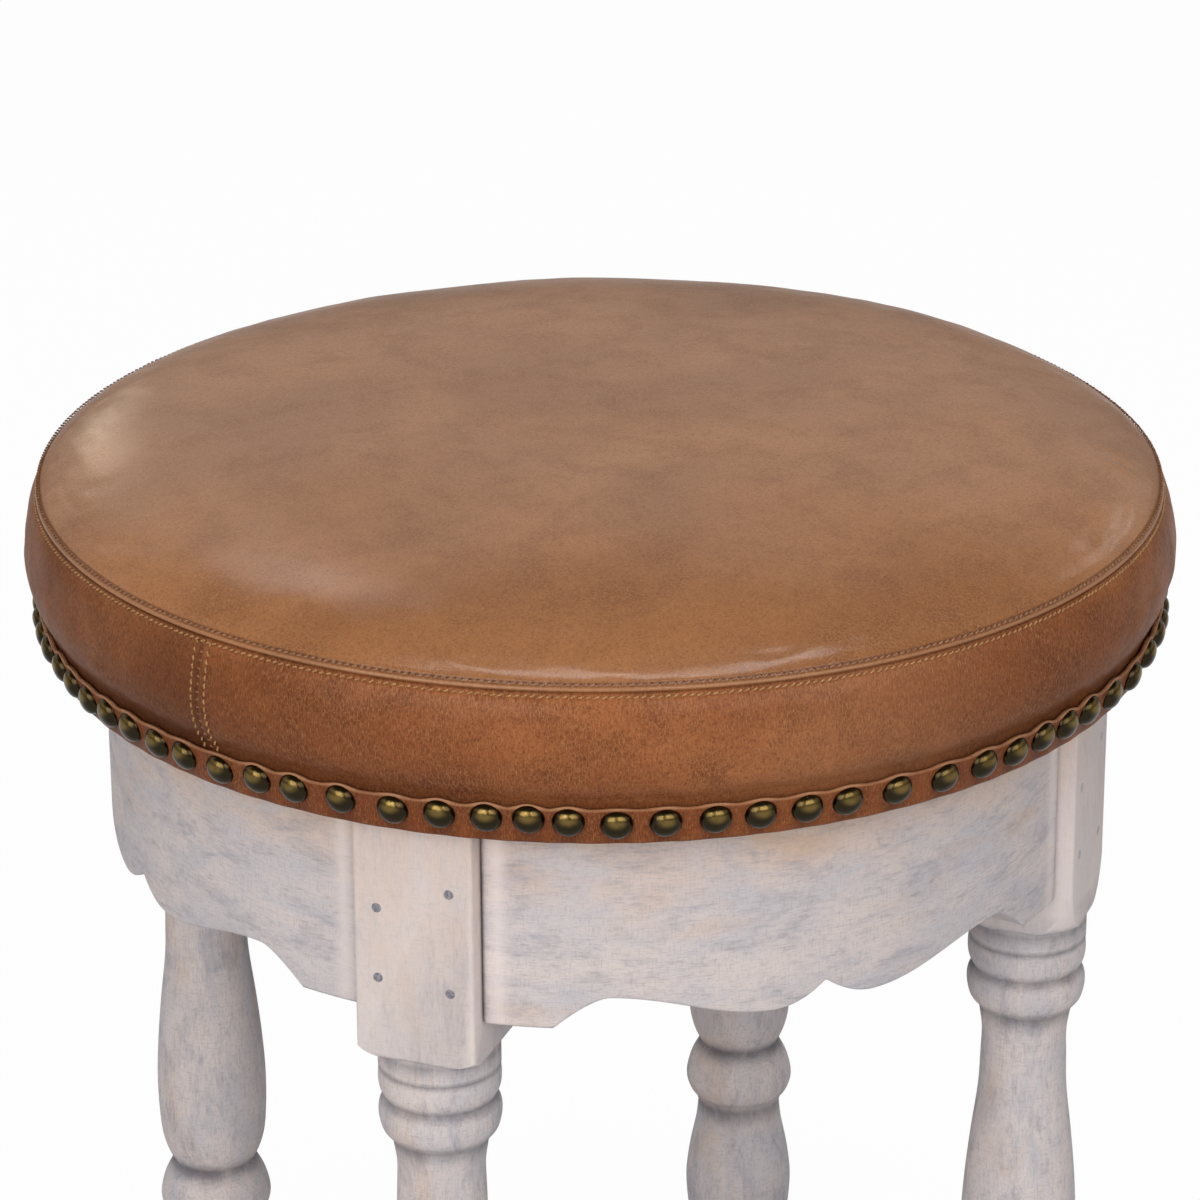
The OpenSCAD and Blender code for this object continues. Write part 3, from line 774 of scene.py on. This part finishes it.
allowance_h = 8 * MM
wadding_outer = [(r, z) for r, z in band_curve(leather_t)
                 if board_top_z <= z < seam_z - allowance_h]
skin_gap = 3.0 * MM
wadding_dome = [(radius * inner_seam_r / seam_r,
                 seam_z + (height - seam_z) * (1 - skin_gap / crown_h))
                for radius, height in (dome_point(k / 36) for k in range(37))]
wadding = spun("wadding", wadding_dome
               + [(inner_seam_r, seam_z - allowance_h)] + wadding_outer[::-1]
               + [(foam_r, board_top_z)]
               + crown_profile(foam_r, foam_high.z, foam_drop)[::-1], 128)
draped(wadding)
smooth(wadding, 40)
finish_piece(wadding, filling("polyester_wadding", srgb(238, 236, 230), srgb(220, 218, 212), 260),
             "wadding", "wadding_wrap")


# Crowned top panel: one round of saddle-tan leather over the filling, gently domed and rolling over
# to stand upright at its seam. Its edge is turned down behind the band and topstitched beside the
# seam, which leaves a low roll between the stitches and the seam's groove.
def leather(name, light, mid, dark, mottling, crackle, gloss, uv=None):
    """Softly mottled hide with a fine pebbled grain, a net of pale cracks and a waxed sheen."""
    n = Nodes(name)
    clouds = n.noise(11, detail=4, rough=0.55, warp=0.5)
    mottle = n.noise(42, detail=5, rough=0.6, warp=0.3)
    grain = n.noise(1000, rough=0.7)
    pits = n.noise(380, detail=5, rough=0.75)
    pebble = n.cells(n.place(1100))
    creases = n.noise((2500, 360, 1) if uv else (1500, 1500, 700), uv, rough=0.7, warp=0.5)

    def moved(where, by):
        return n.add("ShaderNodeVectorMath", {0: where, 1: by}, operation="ADD").outputs[0]
    warped = moved(n.place((700, 320, 1) if uv else 480, uv), n.place(30))
    wander = n.add("ShaderNodeTexNoise", {"Vector": warped, "Scale": 0.9, "Detail": 2.0})
    net = n.cells(moved(warped, wander.outputs["Color"]))
    cracks = n.math("MULTIPLY", n.ramp(net, 0.0, 0.09, 1, 0), n.ramp(mottle, 0.4, 0.62, 0.15, 1))
    tone = n.mix(n.ramp(clouds, 0.34, 0.66), mid, light)
    tone = n.mix(n.ramp(mottle, 0.42, 0.7, 0, mottling), tone, dark)
    tone = n.mix(n.ramp(pits, 0.48, 0.66, 0, crackle * 0.6), tone, dark)
    tone = n.mix(n.ramp(grain, 0.48, 0.64, 0, crackle), tone, dark)
    tone = n.mix(n.ramp(creases, 0.5, 0.66, 0, crackle * 0.9), tone, srgb(196, 136, 90))
    tone = n.mix(n.math("MULTIPLY", cracks, crackle * 0.6), tone, srgb(206, 146, 98))
    # Lighter towards a pale tan: painted highlight on the top's seam roll and on the band's side
    # facing the lamps; the trim strip's top edge paler.
    tone = n.mix(n.attribute("pale_and_painted_light"), tone, srgb(206, 156, 118))
    # Darker towards a deep brown: painted shade in the seams, the join, above the trim strip, round
    # the nails and on the band's side turned from the lamps.
    tone = n.mix(n.attribute("painted_shade"), tone, srgb(50, 27, 17))
    n.set(Base_Color=tone, Roughness=n.ramp(mottle, 0.35, 0.65, 0.4, 0.5))
    skin = n.bump(n.ramp(pebble, 0.0, 0.35), 0.1 * MM, 0.3)
    skin = n.bump(grain, 0.3 * MM, 0.35, skin)
    glaze = n.bump(pits, 0.21 * MM, 0.28, n.bump(grain, 0.14 * MM, 0.38))
    n.set(Normal=n.bump(mottle, 1.0 * MM, 0.1, skin), Coat_Normal=glaze,
          Specular_IOR_Level=gloss * 0.3, Coat_Weight=gloss, Coat_Roughness=0.16)
    return n.owner


top_leather = leather("saddle_leather_top", srgb(170, 113, 68), srgb(151, 98, 57),
                      srgb(106, 62, 36), mottling=0.36, crackle=0.42, gloss=0.5)
seam_groove = 0.55 * MM
roll_h = 2.9 * MM
roll_out = 0.5 * MM
stitch_dip = 0.4 * MM
stitch_w = 0.55 * MM
seam_steps = 720


def seam_relief(above):
    """How far the top's edge stands out at a height above the seam."""
    roll = roll_out * math.sin(math.pi * above / roll_h) if above < roll_h else 0
    dip = -stitch_dip * bell(above - roll_h, stitch_w)
    sink = -seam_groove * max(0, 1 - above / (0.9 * MM)) ** 1.5
    return roll + dip + sink


dome = [dome_point(0.76 * k / 46) for k in range(46)]
dome += [dome_point(0.76 + 0.24 * (k / 44)) for k in range(45)]
dome = [(radius + (seam_relief(height - seam_z) if height - seam_z < 6 * MM else 0), height)
        for radius, height in dome]
allowance_r = seam_r - leather_t - seam_groove
inner_skin = 2.0 * MM
under = [(radius * (seam_r - inner_skin) / seam_r,
          seam_z + (height - seam_z) * (1 - inner_skin / crown_h))
         for radius, height in (dome_point(k / 24) for k in range(23, -1, -1))]
top = spun("top_panel", dome + [
    (allowance_r, seam_z - 1 * MM), (allowance_r, seam_z - allowance_h),
    (allowance_r - leather_t, seam_z - allowance_h), (allowance_r - leather_t, seam_z - 1 * MM)]
    + under, seam_steps, sectors=12)
draped(top)
smooth(top, 60)


# Painted shade in the seam's groove and in the dip along the upper stitches.
def top_painted_shade(place):
    above = place.z - seam_z
    at_seam = 0.16 * bell(max(0, above), 0.5 * MM)
    at_stitches = 0.24 * bell(above - roll_h, 0.4 * MM)
    return max(at_seam, at_stitches)


point_attribute(top, "painted_shade", top_painted_shade)
# Painted highlight: the roll between the seam's groove and the stitches lighter.
point_attribute(top, "pale_and_painted_light", lambda p: 0.28 * bell(p.z - seam_z - roll_h / 2, 0.8 * MM))
finish_piece(top, top_leather, "leather_top", "leather_top_panel")


# Boxing band: an upright strip of darker leather round the side, stretched over the filling, its
# two ends sewn together at the front left and its lower edge pulled over the board, turned in and
# stapled underneath.
band_leather = leather("saddle_leather_band", srgb(176, 109, 66), srgb(140, 80, 47),
                       srgb(88, 45, 27), mottling=0.46, crackle=0.5, gloss=0.13, uv="surface")
join_angle = math.radians(204.8)
join_w = 6.6 * MM
join_dip = 0.7 * MM
band_groove = 0.5 * MM
topstitch_drop = 1.4 * MM
band_outer = [(r, z) for r, z in band_curve(0) if z < seam_z - 5 * MM]
puff_out = 0.35 * MM
ripple_h = 0.5 * MM


def band_radius(z):
    """Radius of the band's face at a height."""
    curve = band_curve(0)
    for (r0, z0), (r1, z1) in zip(curve, curve[1:]):
        if z0 <= z <= z1:
            return r0 + (r1 - r0) * (z - z0) / (z1 - z0)
    return curve[-1][0]


edge_profile = []
for k in range(17):
    below = 4.8 * MM * (1 - k / 16)
    z = seam_z - below
    puff = puff_out * math.sin(math.pi * min(1, below / topstitch_drop))
    dip = -puff_out * bell(below - topstitch_drop, stitch_w)
    tuck = -band_groove * max(0, 1 - below / (0.8 * MM)) ** 1.5
    edge_profile.append((band_radius(z) + puff + dip + tuck, z))
inner = [(r - 0.6 * MM, z) for r, z in band_curve(leather_t)
         if seat_low.z + leather_t < z < seam_z - 2 * MM][::-1]
turn_in_r = 172 * MM
band = spun("boxing_band", [(turn_in_r, seat_low.z), (band_foot_r - 0.8 * MM, seat_low.z),
                            (band_foot_r - 0.1 * MM, seat_low.z + 0.8 * MM)]
            + band_outer[1:] + edge_profile
            + [(edge_profile[-1][0] - 0.6 * MM, seam_z - 1 * MM)] + inner
            + [(band_foot_r - leather_t, seat_low.z + leather_t),
               (turn_in_r, seat_low.z + leather_t)],
            1080, closed=True, sectors=18)


def join_relief(arc):
    """The join's dark middle line sunk between two flat stitched allowances."""
    near = max(0, 1 - abs(arc) / (join_w * 1.1))
    return (-join_dip * bell(arc, 0.7 * MM)
            + 0.35 * MM * bell(abs(arc) - join_w / 4, 1.3 * MM)
            - 0.3 * MM * bell(abs(arc) - join_w / 2, 0.7 * MM)) * (near > 0)


for vertex in band.data.vertices:
    radius, angle = polar(vertex.co)
    if vertex.co.z < seat_low.z + 2 * leather_t:
        continue
    below_seam = vertex.co.z < seam_z
    fade = math.sin(math.pi * (vertex.co.z - seat_low.z) / band_h) ** 0.5 if below_seam else 0
    ripple = ripple_h * wrinkle(math.cos(angle), math.sin(angle), vertex.co.z * 10, 16, 5) * fade
    ripple += ripple_h * wrinkle(math.cos(angle), math.sin(angle), vertex.co.z * 4, 4, 8) * fade
    moved = radius + min(0, ripple - 0.15 * MM) + join_relief(around(angle, join_angle) * radius)
    moved += out_of_round(angle) * squeeze_share(radius, vertex.co.z)
    move_out(vertex, moved)
smooth(band, 60)


# Places of the painted shade and the painted highlight on the band, counted from the side nearest
# the camera.
shaded_side_angle = seen_at(66)
shaded_side_w = 0.5
lit_side_angle = seen_at(27)
lit_side_w = 0.24


# Painted shade: at the seam's groove, in the join's sunk middle line, above the trim strip (partly
# a real darker lower edge), on the side turned from the lamps, and over a long stretch left of the
# join, where that end of the hide is also a little darker.
def band_painted_shade(place):
    radius, angle = polar(place)
    arc = around(angle, join_angle) * radius
    at_seam = 0.16 * bell(seam_z - place.z, 0.5 * MM)
    at_join = 0.55 * bell(arc, 0.5 * MM)
    at_strip = 0.42 * bell(place.z - seat_low.z - 14 * MM, 8 * MM)
    if arc < 0:
        darker_end = 0.48 * math.exp(arc / (300 * MM))
    else:
        darker_end = 0.27 * math.exp(-arc / (50 * MM))
    darker_side = 0.16 * bell(around(angle, shaded_side_angle), shaded_side_w)
    return min(1, max(at_seam, at_join, at_strip) + darker_end * 0.9 + darker_side)


# Painted highlight: a lighter stretch of the band where it faces the front lamps.
def band_painted_light(place):
    return 0.14 * bell(around(polar(place)[1], lit_side_angle), lit_side_w)


point_attribute(band, "painted_shade", band_painted_shade)
point_attribute(band, "pale_and_painted_light", band_painted_light)


def round_map(piece, start_angle):
    """UV map in metres: distance round the seat from a start, and height."""
    layer = piece.data.uv_layers.new(name="surface")

    def turned(place):
        return (polar(place)[1] - start_angle) % (2 * math.pi)
    for polygon in piece.data.polygons:
        middle = turned(polygon.center)
        for loop in polygon.loop_indices:
            place = piece.data.vertices[piece.data.loops[loop].vertex_index].co
            angle = turned(place)
            if angle - middle > math.pi:
                angle -= 2 * math.pi
            elif middle - angle > math.pi:
                angle += 2 * math.pi
            layer.data[loop].uv = (angle * widest_r, place.z)


round_map(band, join_angle)
finish_piece(band, band_leather, "leather_band", "leather_boxing_band")


# Sewing thread: pale waxed thread in a row under the seam and in two upright rows at the band's
# join, tan thread in a row beside the seam on the top panel and across the join's middle, and
# dark marks between the stitches of the upper row, painted shade standing for the needle holes.
stitch_pitch = 2.8 * MM
stitch_l = 2.3 * MM
stitch_r = 0.4 * MM


def thread(name, light, dark):
    n = Nodes(name)
    return n.plain(n.noise(1500, detail=2), light, dark, (0.55, 0.75), 0.1 * MM, 0.6)


def stitch_mesh():
    """One stitch lying along X, its ends dipping into the leather."""
    bpy.ops.mesh.primitive_cylinder_add(vertices=6, radius=stitch_r, depth=stitch_l,
                                        rotation=(0, math.pi / 2, 0))
    piece = bpy.context.object
    bpy.ops.object.transform_apply(location=False, rotation=True, scale=False)
    bpy.ops.object.mode_set(mode="EDIT")
    for cut_share in (-0.3, 0.3):
        bpy.ops.mesh.select_all(action="SELECT")
        bpy.ops.mesh.bisect(plane_co=(cut_share * stitch_l, 0, 0), plane_no=(1, 0, 0))
    bpy.ops.object.mode_set(mode="OBJECT")
    for vertex in piece.data.vertices:
        share = abs(vertex.co.x) / (stitch_l / 2)
        if share > 0.9:
            vertex.co.y *= 0.55
            vertex.co.z = vertex.co.z * 0.55 - 0.45 * MM
    return piece


one_stitch = stitch_mesh()


def stitch_row(name, places):
    """Copies of the stitch set by matrices and joined."""
    row = joined(name, [turned_copy(one_stitch, place) for place in places])
    smooth(row, 60)
    return row


def stitch_place(radius, angle, z, lean, along_seam=True, slant=0.0):
    """Matrix that lays a stitch on a face leaning outwards by an angle."""
    spin = math.pi / 2 + slant if along_seam else slant
    return (set_out(angle, radius, up=z) @ Matrix.Rotation(lean, 4, "Y")
            @ Matrix.Rotation(spin, 4, "Z"))


random.seed(7)
stitch_count = round(2 * math.pi * seam_r / stitch_pitch)
low_row_z = seam_z - topstitch_drop
low_row_r = band_radius(low_row_z) - 0.35 * MM + stitch_r * 0.6
high_row_z = seam_z + roll_h
high_row_r = seam_r - stitch_dip + stitch_r * 0.2
lower = []
upper = []
holes = []
for i in range(stitch_count):
    angle = 2 * math.pi * (i + random.uniform(-0.06, 0.06)) / stitch_count
    inset = out_of_round(angle)
    holes.append(stitch_place(
        high_row_r + inset, angle, high_row_z + random.uniform(0.3, 0.5) * MM, math.radians(84))
        @ Matrix.Diagonal((0.42, 0.8, 0.8, 1)))
    lower.append(stitch_place(
        low_row_r + inset, angle, low_row_z + random.uniform(-0.12, 0.12) * MM, math.radians(74),
        slant=random.uniform(0.3, 0.5)))
    upper.append(stitch_place(
        high_row_r + inset, angle + 0.5 * stitch_pitch / seam_r,
        high_row_z + random.uniform(-0.1, 0.1) * MM, math.radians(84),
        slant=random.uniform(0.25, 0.5)))
join_rows = []
cross_rows = []
join_top = seam_z - 0.6 * MM
join_bottom = seat_low.z + 15 * MM
join_count = int((join_top - join_bottom) / stitch_pitch)
for i in range(join_count):
    z = join_top - (i + 0.5) * (join_top - join_bottom) / join_count
    radius = band_radius(z)
    step = 0.5 * MM
    lean = math.pi / 2 - math.atan2(band_radius(z + step) - band_radius(z - step), 2 * step)
    for side in (-1, 1):
        join_rows.append(stitch_place(
            radius - 0.2 * MM + stitch_r * 0.6, join_angle + side * join_w / 2 / radius, z,
            lean, along_seam=False, slant=random.uniform(-0.1, 0.1)))
    cross_rows.append(stitch_place(radius - 0.3 * MM, join_angle, z, lean,
                                   along_seam=True, slant=random.uniform(-0.2, 0.2)))
pale_thread = thread("pale_waxed_thread", srgb(194, 146, 92), srgb(156, 110, 66))
# Dark marks for the needle holes: painted shade.
needle_hole_shade = thread("needle_hole_shade", srgb(114, 70, 45), srgb(88, 52, 34))
tan_thread = thread("tan_thread", srgb(172, 122, 86), srgb(134, 88, 60))
finish_piece(stitch_row("seam_topstitching", lower + join_rows), pale_thread, "thread",
             "topstitch_thread")
finish_piece(stitch_row("seam_upper_stitching", upper + cross_rows), tan_thread, "thread")
finish_piece(stitch_row("seam_needle_hole_shade", holes), needle_hole_shade, "thread")
bpy.data.objects.remove(one_stitch)


# Trim strip: a narrow strip of the lighter leather laid over the band's lower edge. The nails pull
# it down at their rims, so its raw upper edge rises over each nail and dips between them.
strip_h = 17 * MM
strip_t = 1.8 * MM
strip_foot_r = band_foot_r + strip_t
edge_dip = 1.1 * MM
edge_drop = 1.0 * MM
puff_w = 8.2 * MM
nail_gap_shares = [1.10, 0.81, 0.87, 0.97, 0.93, 0.98, 0.90, 1.07, 1.03, 0.94, 1.12, 1.18, 1.02,
                   0.99, 0.88, 0.82, 0.99, 1.01, 1.04, 0.95, 1.01, 0.91, 1.17, 1.21, 1.07, 0.94,
                   0.88, 0.87, 0.90, 1.11, 1.24, 1.16]
nail_count = 80
first_nail_angle = math.radians(171.5)
gaps = [nail_gap_shares[i % len(nail_gap_shares)] for i in range(nail_count)]
nail_angles = [first_nail_angle + 2 * math.pi * sum(gaps[:i]) / sum(gaps)
               for i in range(nail_count)]
nail_rise_mm = [1.0, 1.2, 0.0, -0.9, 0.1, 0.0, -0.7, -0.7, -1.0, 0.5, 0.7, 0.6, -0.2, 0.7, 1.0, 1.3,
                0.4, -1.0, -0.6, -0.4, -0.2, -0.4, -0.2, 0.0, -0.5, 0.1, -0.1, 1.3, 1.2, 1.4, 0.4,
                -0.8]
nail_rises = [0.8 * MM * nail_rise_mm[i % len(nail_rise_mm)] for i in range(nail_count)]
strip_leather = leather("trim_strip_leather", srgb(146, 82, 46), srgb(128, 68, 37),
                        srgb(96, 50, 30), mottling=0.35, crackle=0.45, gloss=0.12, uv="surface")


def nail_nearness(angle):
    """1 at a nail's centre, falling to 0 halfway to the next, and that nail's rise."""
    away, rise = min((abs(around(angle, nail)), rise)
                     for nail, rise in zip(nail_angles, nail_rises))
    return 0.5 + 0.5 * math.cos(min(math.pi, away * strip_foot_r / puff_w * math.pi)), rise


strip_section = [(0, 0.0), (0.25, -0.02), (0.8, 0.0), (1.0, 0.06), (1.04, 0.3), (1.04, 0.55),
                 (1.05, 0.8), (1.08, 0.9), (1.02, 0.965), (0.75, 1.0), (0.35, 0.99), (0.06, 0.95),
                 (0.0, 0.8), (0.0, 0.4)]
strip = spun("trim_strip", [
    (strip_foot_r - strip_t + out * strip_t + up * strip_h * strip_lean, seat_low.z + up * strip_h)
    for out, up in strip_section], 1440, closed=True, sectors=24)
for vertex in strip.data.vertices:
    radius, angle = polar(vertex.co)
    up = (vertex.co.z - seat_low.z) / strip_h
    near, rise = nail_nearness(angle)
    lift = max(0, (up - 0.6) / 0.4) ** 1.2
    vertex.co.z += (rise * near * 0.7 - edge_dip * (1 - near) - edge_drop) * lift
    outer = radius - strip_foot_r + strip_t / 2 - up * strip_h * strip_lean > 0
    pull = (0.35 * MM * (1 - near) + 0.5 * MM * near * lift - 0.15 * MM) if outer else 0
    move_out(vertex, radius + pull)
smooth(strip, 60)


# Painted shade round each nail head, on the strip below its top edge.
def strip_painted_shade(place):
    near = nail_nearness(polar(place)[1])[0]
    return 0.4 * near if place.z < seat_low.z + strip_h * 0.85 else 0


point_attribute(strip, "painted_shade", strip_painted_shade)
point_attribute(strip, "pale_and_painted_light", lambda p: 0.6 * min(1, max(
    0, (p.z - seat_low.z - strip_h * 0.82) / (1.2 * MM))))
round_map(strip, math.pi / 2)
finish_piece(strip, strip_leather, "leather_strip", "leather_trim_strip")


# Domed nails: pressed brass heads on steel shanks, lacquered dark, set by hand at slightly uneven
# gaps, each a little out of true. Their colour is partly painted reflection: dark overall, as if
# mirroring a dim room, and brighter on each head's upper side.
nail_r = 6 * MM
nail_h = 4 * MM
nail_rim = 0.35 * MM
shank_r = 0.95 * MM
shank_l = 15 * MM


def antique_brass():
    n = Nodes("antique_brass")
    patina = n.noise(260, detail=4, rough=0.6)
    pits = n.noise(1400, rough=0.6)
    # Painted reflection: the upper part of each head brighter brass, the lower part dark.
    painted_sheen = n.attribute("painted_sheen")
    tone = n.mix(n.ramp(painted_sheen, 0.1, 0.9), srgb(54, 47, 34), srgb(130, 108, 62))
    tone = n.mix(n.ramp(patina, 0.5, 0.7, 0, 0.4), tone, srgb(56, 44, 32))
    n.set(Base_Color=tone, Metallic=1, Roughness=n.ramp(pits, 0.3, 0.7, 0.15, 0.24),
          Normal=n.bump(pits, 0.12 * MM, 0.4))
    return n.owner


nail_turns = [math.pi / 2 * k / 9 for k in range(9)]
nail_profile = [(nail_r * math.sin(a) ** 0.85, nail_h * math.cos(a)) for a in nail_turns]
nail_profile += [(nail_r, nail_rim), (nail_r * 0.97, 0), (shank_r, 0),
                 (shank_r, shank_r * 2 - shank_l), (0, -shank_l)]
first_nail = spun("nail", nail_profile, 28)
# Painted reflection: brightest on the upper side of each head as it is set on the strip, none on
# the rim and shank.
point_attribute(first_nail, "painted_sheen", lambda p: 0 if p.z < nail_rim else math.exp(
    -(((p.x + 0.5 * nail_r) / (0.42 * nail_r)) ** 2 + (p.y / (0.62 * nail_r)) ** 2)))
nail_face_r = strip_foot_r + nail_up * strip_lean
nails = []
random.seed(11)
for angle, rise in zip(nail_angles, nail_rises):
    tilt = Matrix.Rotation(math.radians(random.uniform(-2.5, 2.5)), 4, "Y")
    tilt = tilt @ Matrix.Rotation(math.radians(random.uniform(-2.5, 2.5)), 4, "Z")
    nails.append(turned_copy(
        first_nail, set_out(angle, nail_face_r + rise * strip_lean, up=nail_row_z + rise) @ tilt
        @ Matrix.Rotation(math.pi / 2 + math.atan(strip_lean), 4, "Y")))
bpy.data.objects.remove(first_nail)
nails = joined("domed_nails", nails)
smooth(nails, 50)
finish_piece(nails, antique_brass(), "antique_brass", "trim_nails")


# Dust cover: thin black cloth stapled over the underside, caught between seat and frame, slack
# enough to sag a little in the middle.
dust_low, dust_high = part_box("dust_cover")
dust_r = dust_high.x
dust_sag = 2.2 * MM
sag_r = 150 * MM
cloth_t = 0.35 * MM


def black_cloth():
    n = Nodes("black_dust_cloth")
    across = n.noise((2200, 160, 1), detail=2)
    along = n.noise((160, 2200, 1), detail=2)
    weave = n.math("MAXIMUM", across, along)
    return n.plain(weave, srgb(22, 22, 23), srgb(44, 43, 44), (0.8, 0.95), 0.15 * MM, 0.6,
                   span=(0.4, 0.7))


def sag(radius):
    return dust_sag * max(0, 1 - (radius / sag_r) ** 2)


cloth_radii = [dust_r * k / 40 for k in range(41)]
cloth = spun("dust_cloth", [(r, dust_low.z + cloth_t - sag(r)) for r in cloth_radii]
             + [(r, dust_low.z - sag(r)) for r in cloth_radii[::-1]], 180)
smooth(cloth, 40)
finish_piece(cloth, black_cloth(), "dust_cloth", "dust_cover")


# Studio: a pale floor and backdrop that show white, two wide warm lamps and two small ones before
# the seat, soft boxes above it and small windows behind it that the leather and nails mirror.
def white_stage():
    n = Nodes("white_stage")
    glow = n.add("ShaderNodeEmission", {"Color": (1, 1, 1, 1), "Strength": 1.0})
    seen, mirrored = n.seen()
    n.set(Base_Color=n.mix(seen, srgb(188, 188, 188), srgb(245, 245, 245)), Roughness=0.9)
    glowing = n.math("ADD", n.math("MULTIPLY", seen, 0.97), n.math("MULTIPLY", mirrored, 0.45))
    blend = n.either(glowing, n.shader.outputs["BSDF"], glow.outputs["Emission"])
    n.feed(n.tree.nodes["Material Output"].inputs["Surface"], blend)
    return n.owner


bpy.ops.mesh.primitive_plane_add(size=12)
floor = bpy.context.object
floor.name = "floor"
floor.data.materials.append(white_stage())

sky = Nodes("studio", bpy.data.worlds)
bpy.context.scene.world = sky.owner
ambient = sky.tree.nodes["Background"]
ambient.inputs["Color"].default_value = (0.92, 0.95, 1, 1)
ambient.inputs["Strength"].default_value = 0.28


def backdrop(strength, colour=(1, 1, 1, 1)):
    node = sky.add("ShaderNodeBackground", {"Color": colour, "Strength": strength})
    return node.outputs["Background"]


heading = sky.add("ShaderNodeTexCoord").outputs["Generated"]
height = sky.add("ShaderNodeSeparateXYZ", {"Vector": heading}).outputs["Z"]
level = sky.math("MULTIPLY", sky.ramp(height, 0.4, 0.66, 0.78, 0.1),
                 sky.ramp(height, 0.0, 0.36, 0.3, 1.0))
seen, mirrored = sky.seen()
unseen = sky.either(mirrored, ambient.outputs["Background"], backdrop(level, (1, 0.97, 0.91, 1)))
sky.feed(sky.tree.nodes["World Output"].inputs["Surface"],
         sky.either(seen, unseen, backdrop(1.0)))


def lamp(name, azimuth, elevation, distance, size, watts, colour=(1, 1, 1)):
    """Soft box that faces the seat, its azimuth counted from the camera's to the right."""
    a = view_azimuth + math.radians(azimuth)
    e = math.radians(elevation)
    aim = Vector((0, 0, seat_low.z))
    away = Vector((math.sin(a) * math.cos(e), -math.cos(a) * math.cos(e), math.sin(e)))
    bpy.ops.object.light_add(type="AREA", location=aim + away * distance)
    light = bpy.context.object
    light.name = name
    light.data.shape = "RECTANGLE"
    light.data.size, light.data.size_y = size
    light.data.energy = watts
    light.data.color = colour
    light.rotation_mode = "QUATERNION"
    light.rotation_quaternion = away.to_track_quat("Z", "Y")
    return light


lamp("front_left_lamp", -30, 18, 2.6, (2.0, 1.5), 24.5, (1, 0.96, 0.91))
lamp("front_right_lamp", 30, 22, 2.6, (2.0, 1.5), 18.5, (1, 0.96, 0.91))
lamp("overhead_box", -12, 84, 2.2, (1.3, 0.4), 13.5, (0.93, 0.97, 1))
lamp("overhead_right_box", 105, 73, 2.3, (0.5, 0.3), 5.5, (0.85, 0.93, 1))
lamp("left_back_box", -110, 40, 2.4, (0.9, 1.1), 1.3, (0.95, 0.97, 1))
lamp("rear_left_window", -164, 40, 2.6, (0.26, 0.12), 1.15, (0.85, 0.93, 1))
lamp("low_rear_window", -161, 16, 2.7, (0.12, 0.4), 1.0, (1, 0.83, 0.62))
lamp("rear_right_window", 144, 31, 2.7, (0.16, 0.3), 0.85)
lamp("small_left_lamp", -21, 25, 2.5, (0.14, 0.14), 1.1)
lamp("small_right_lamp", 13, 27, 2.5, (0.14, 0.14), 1.1)

bpy.context.scene.view_settings.view_transform = "Standard"
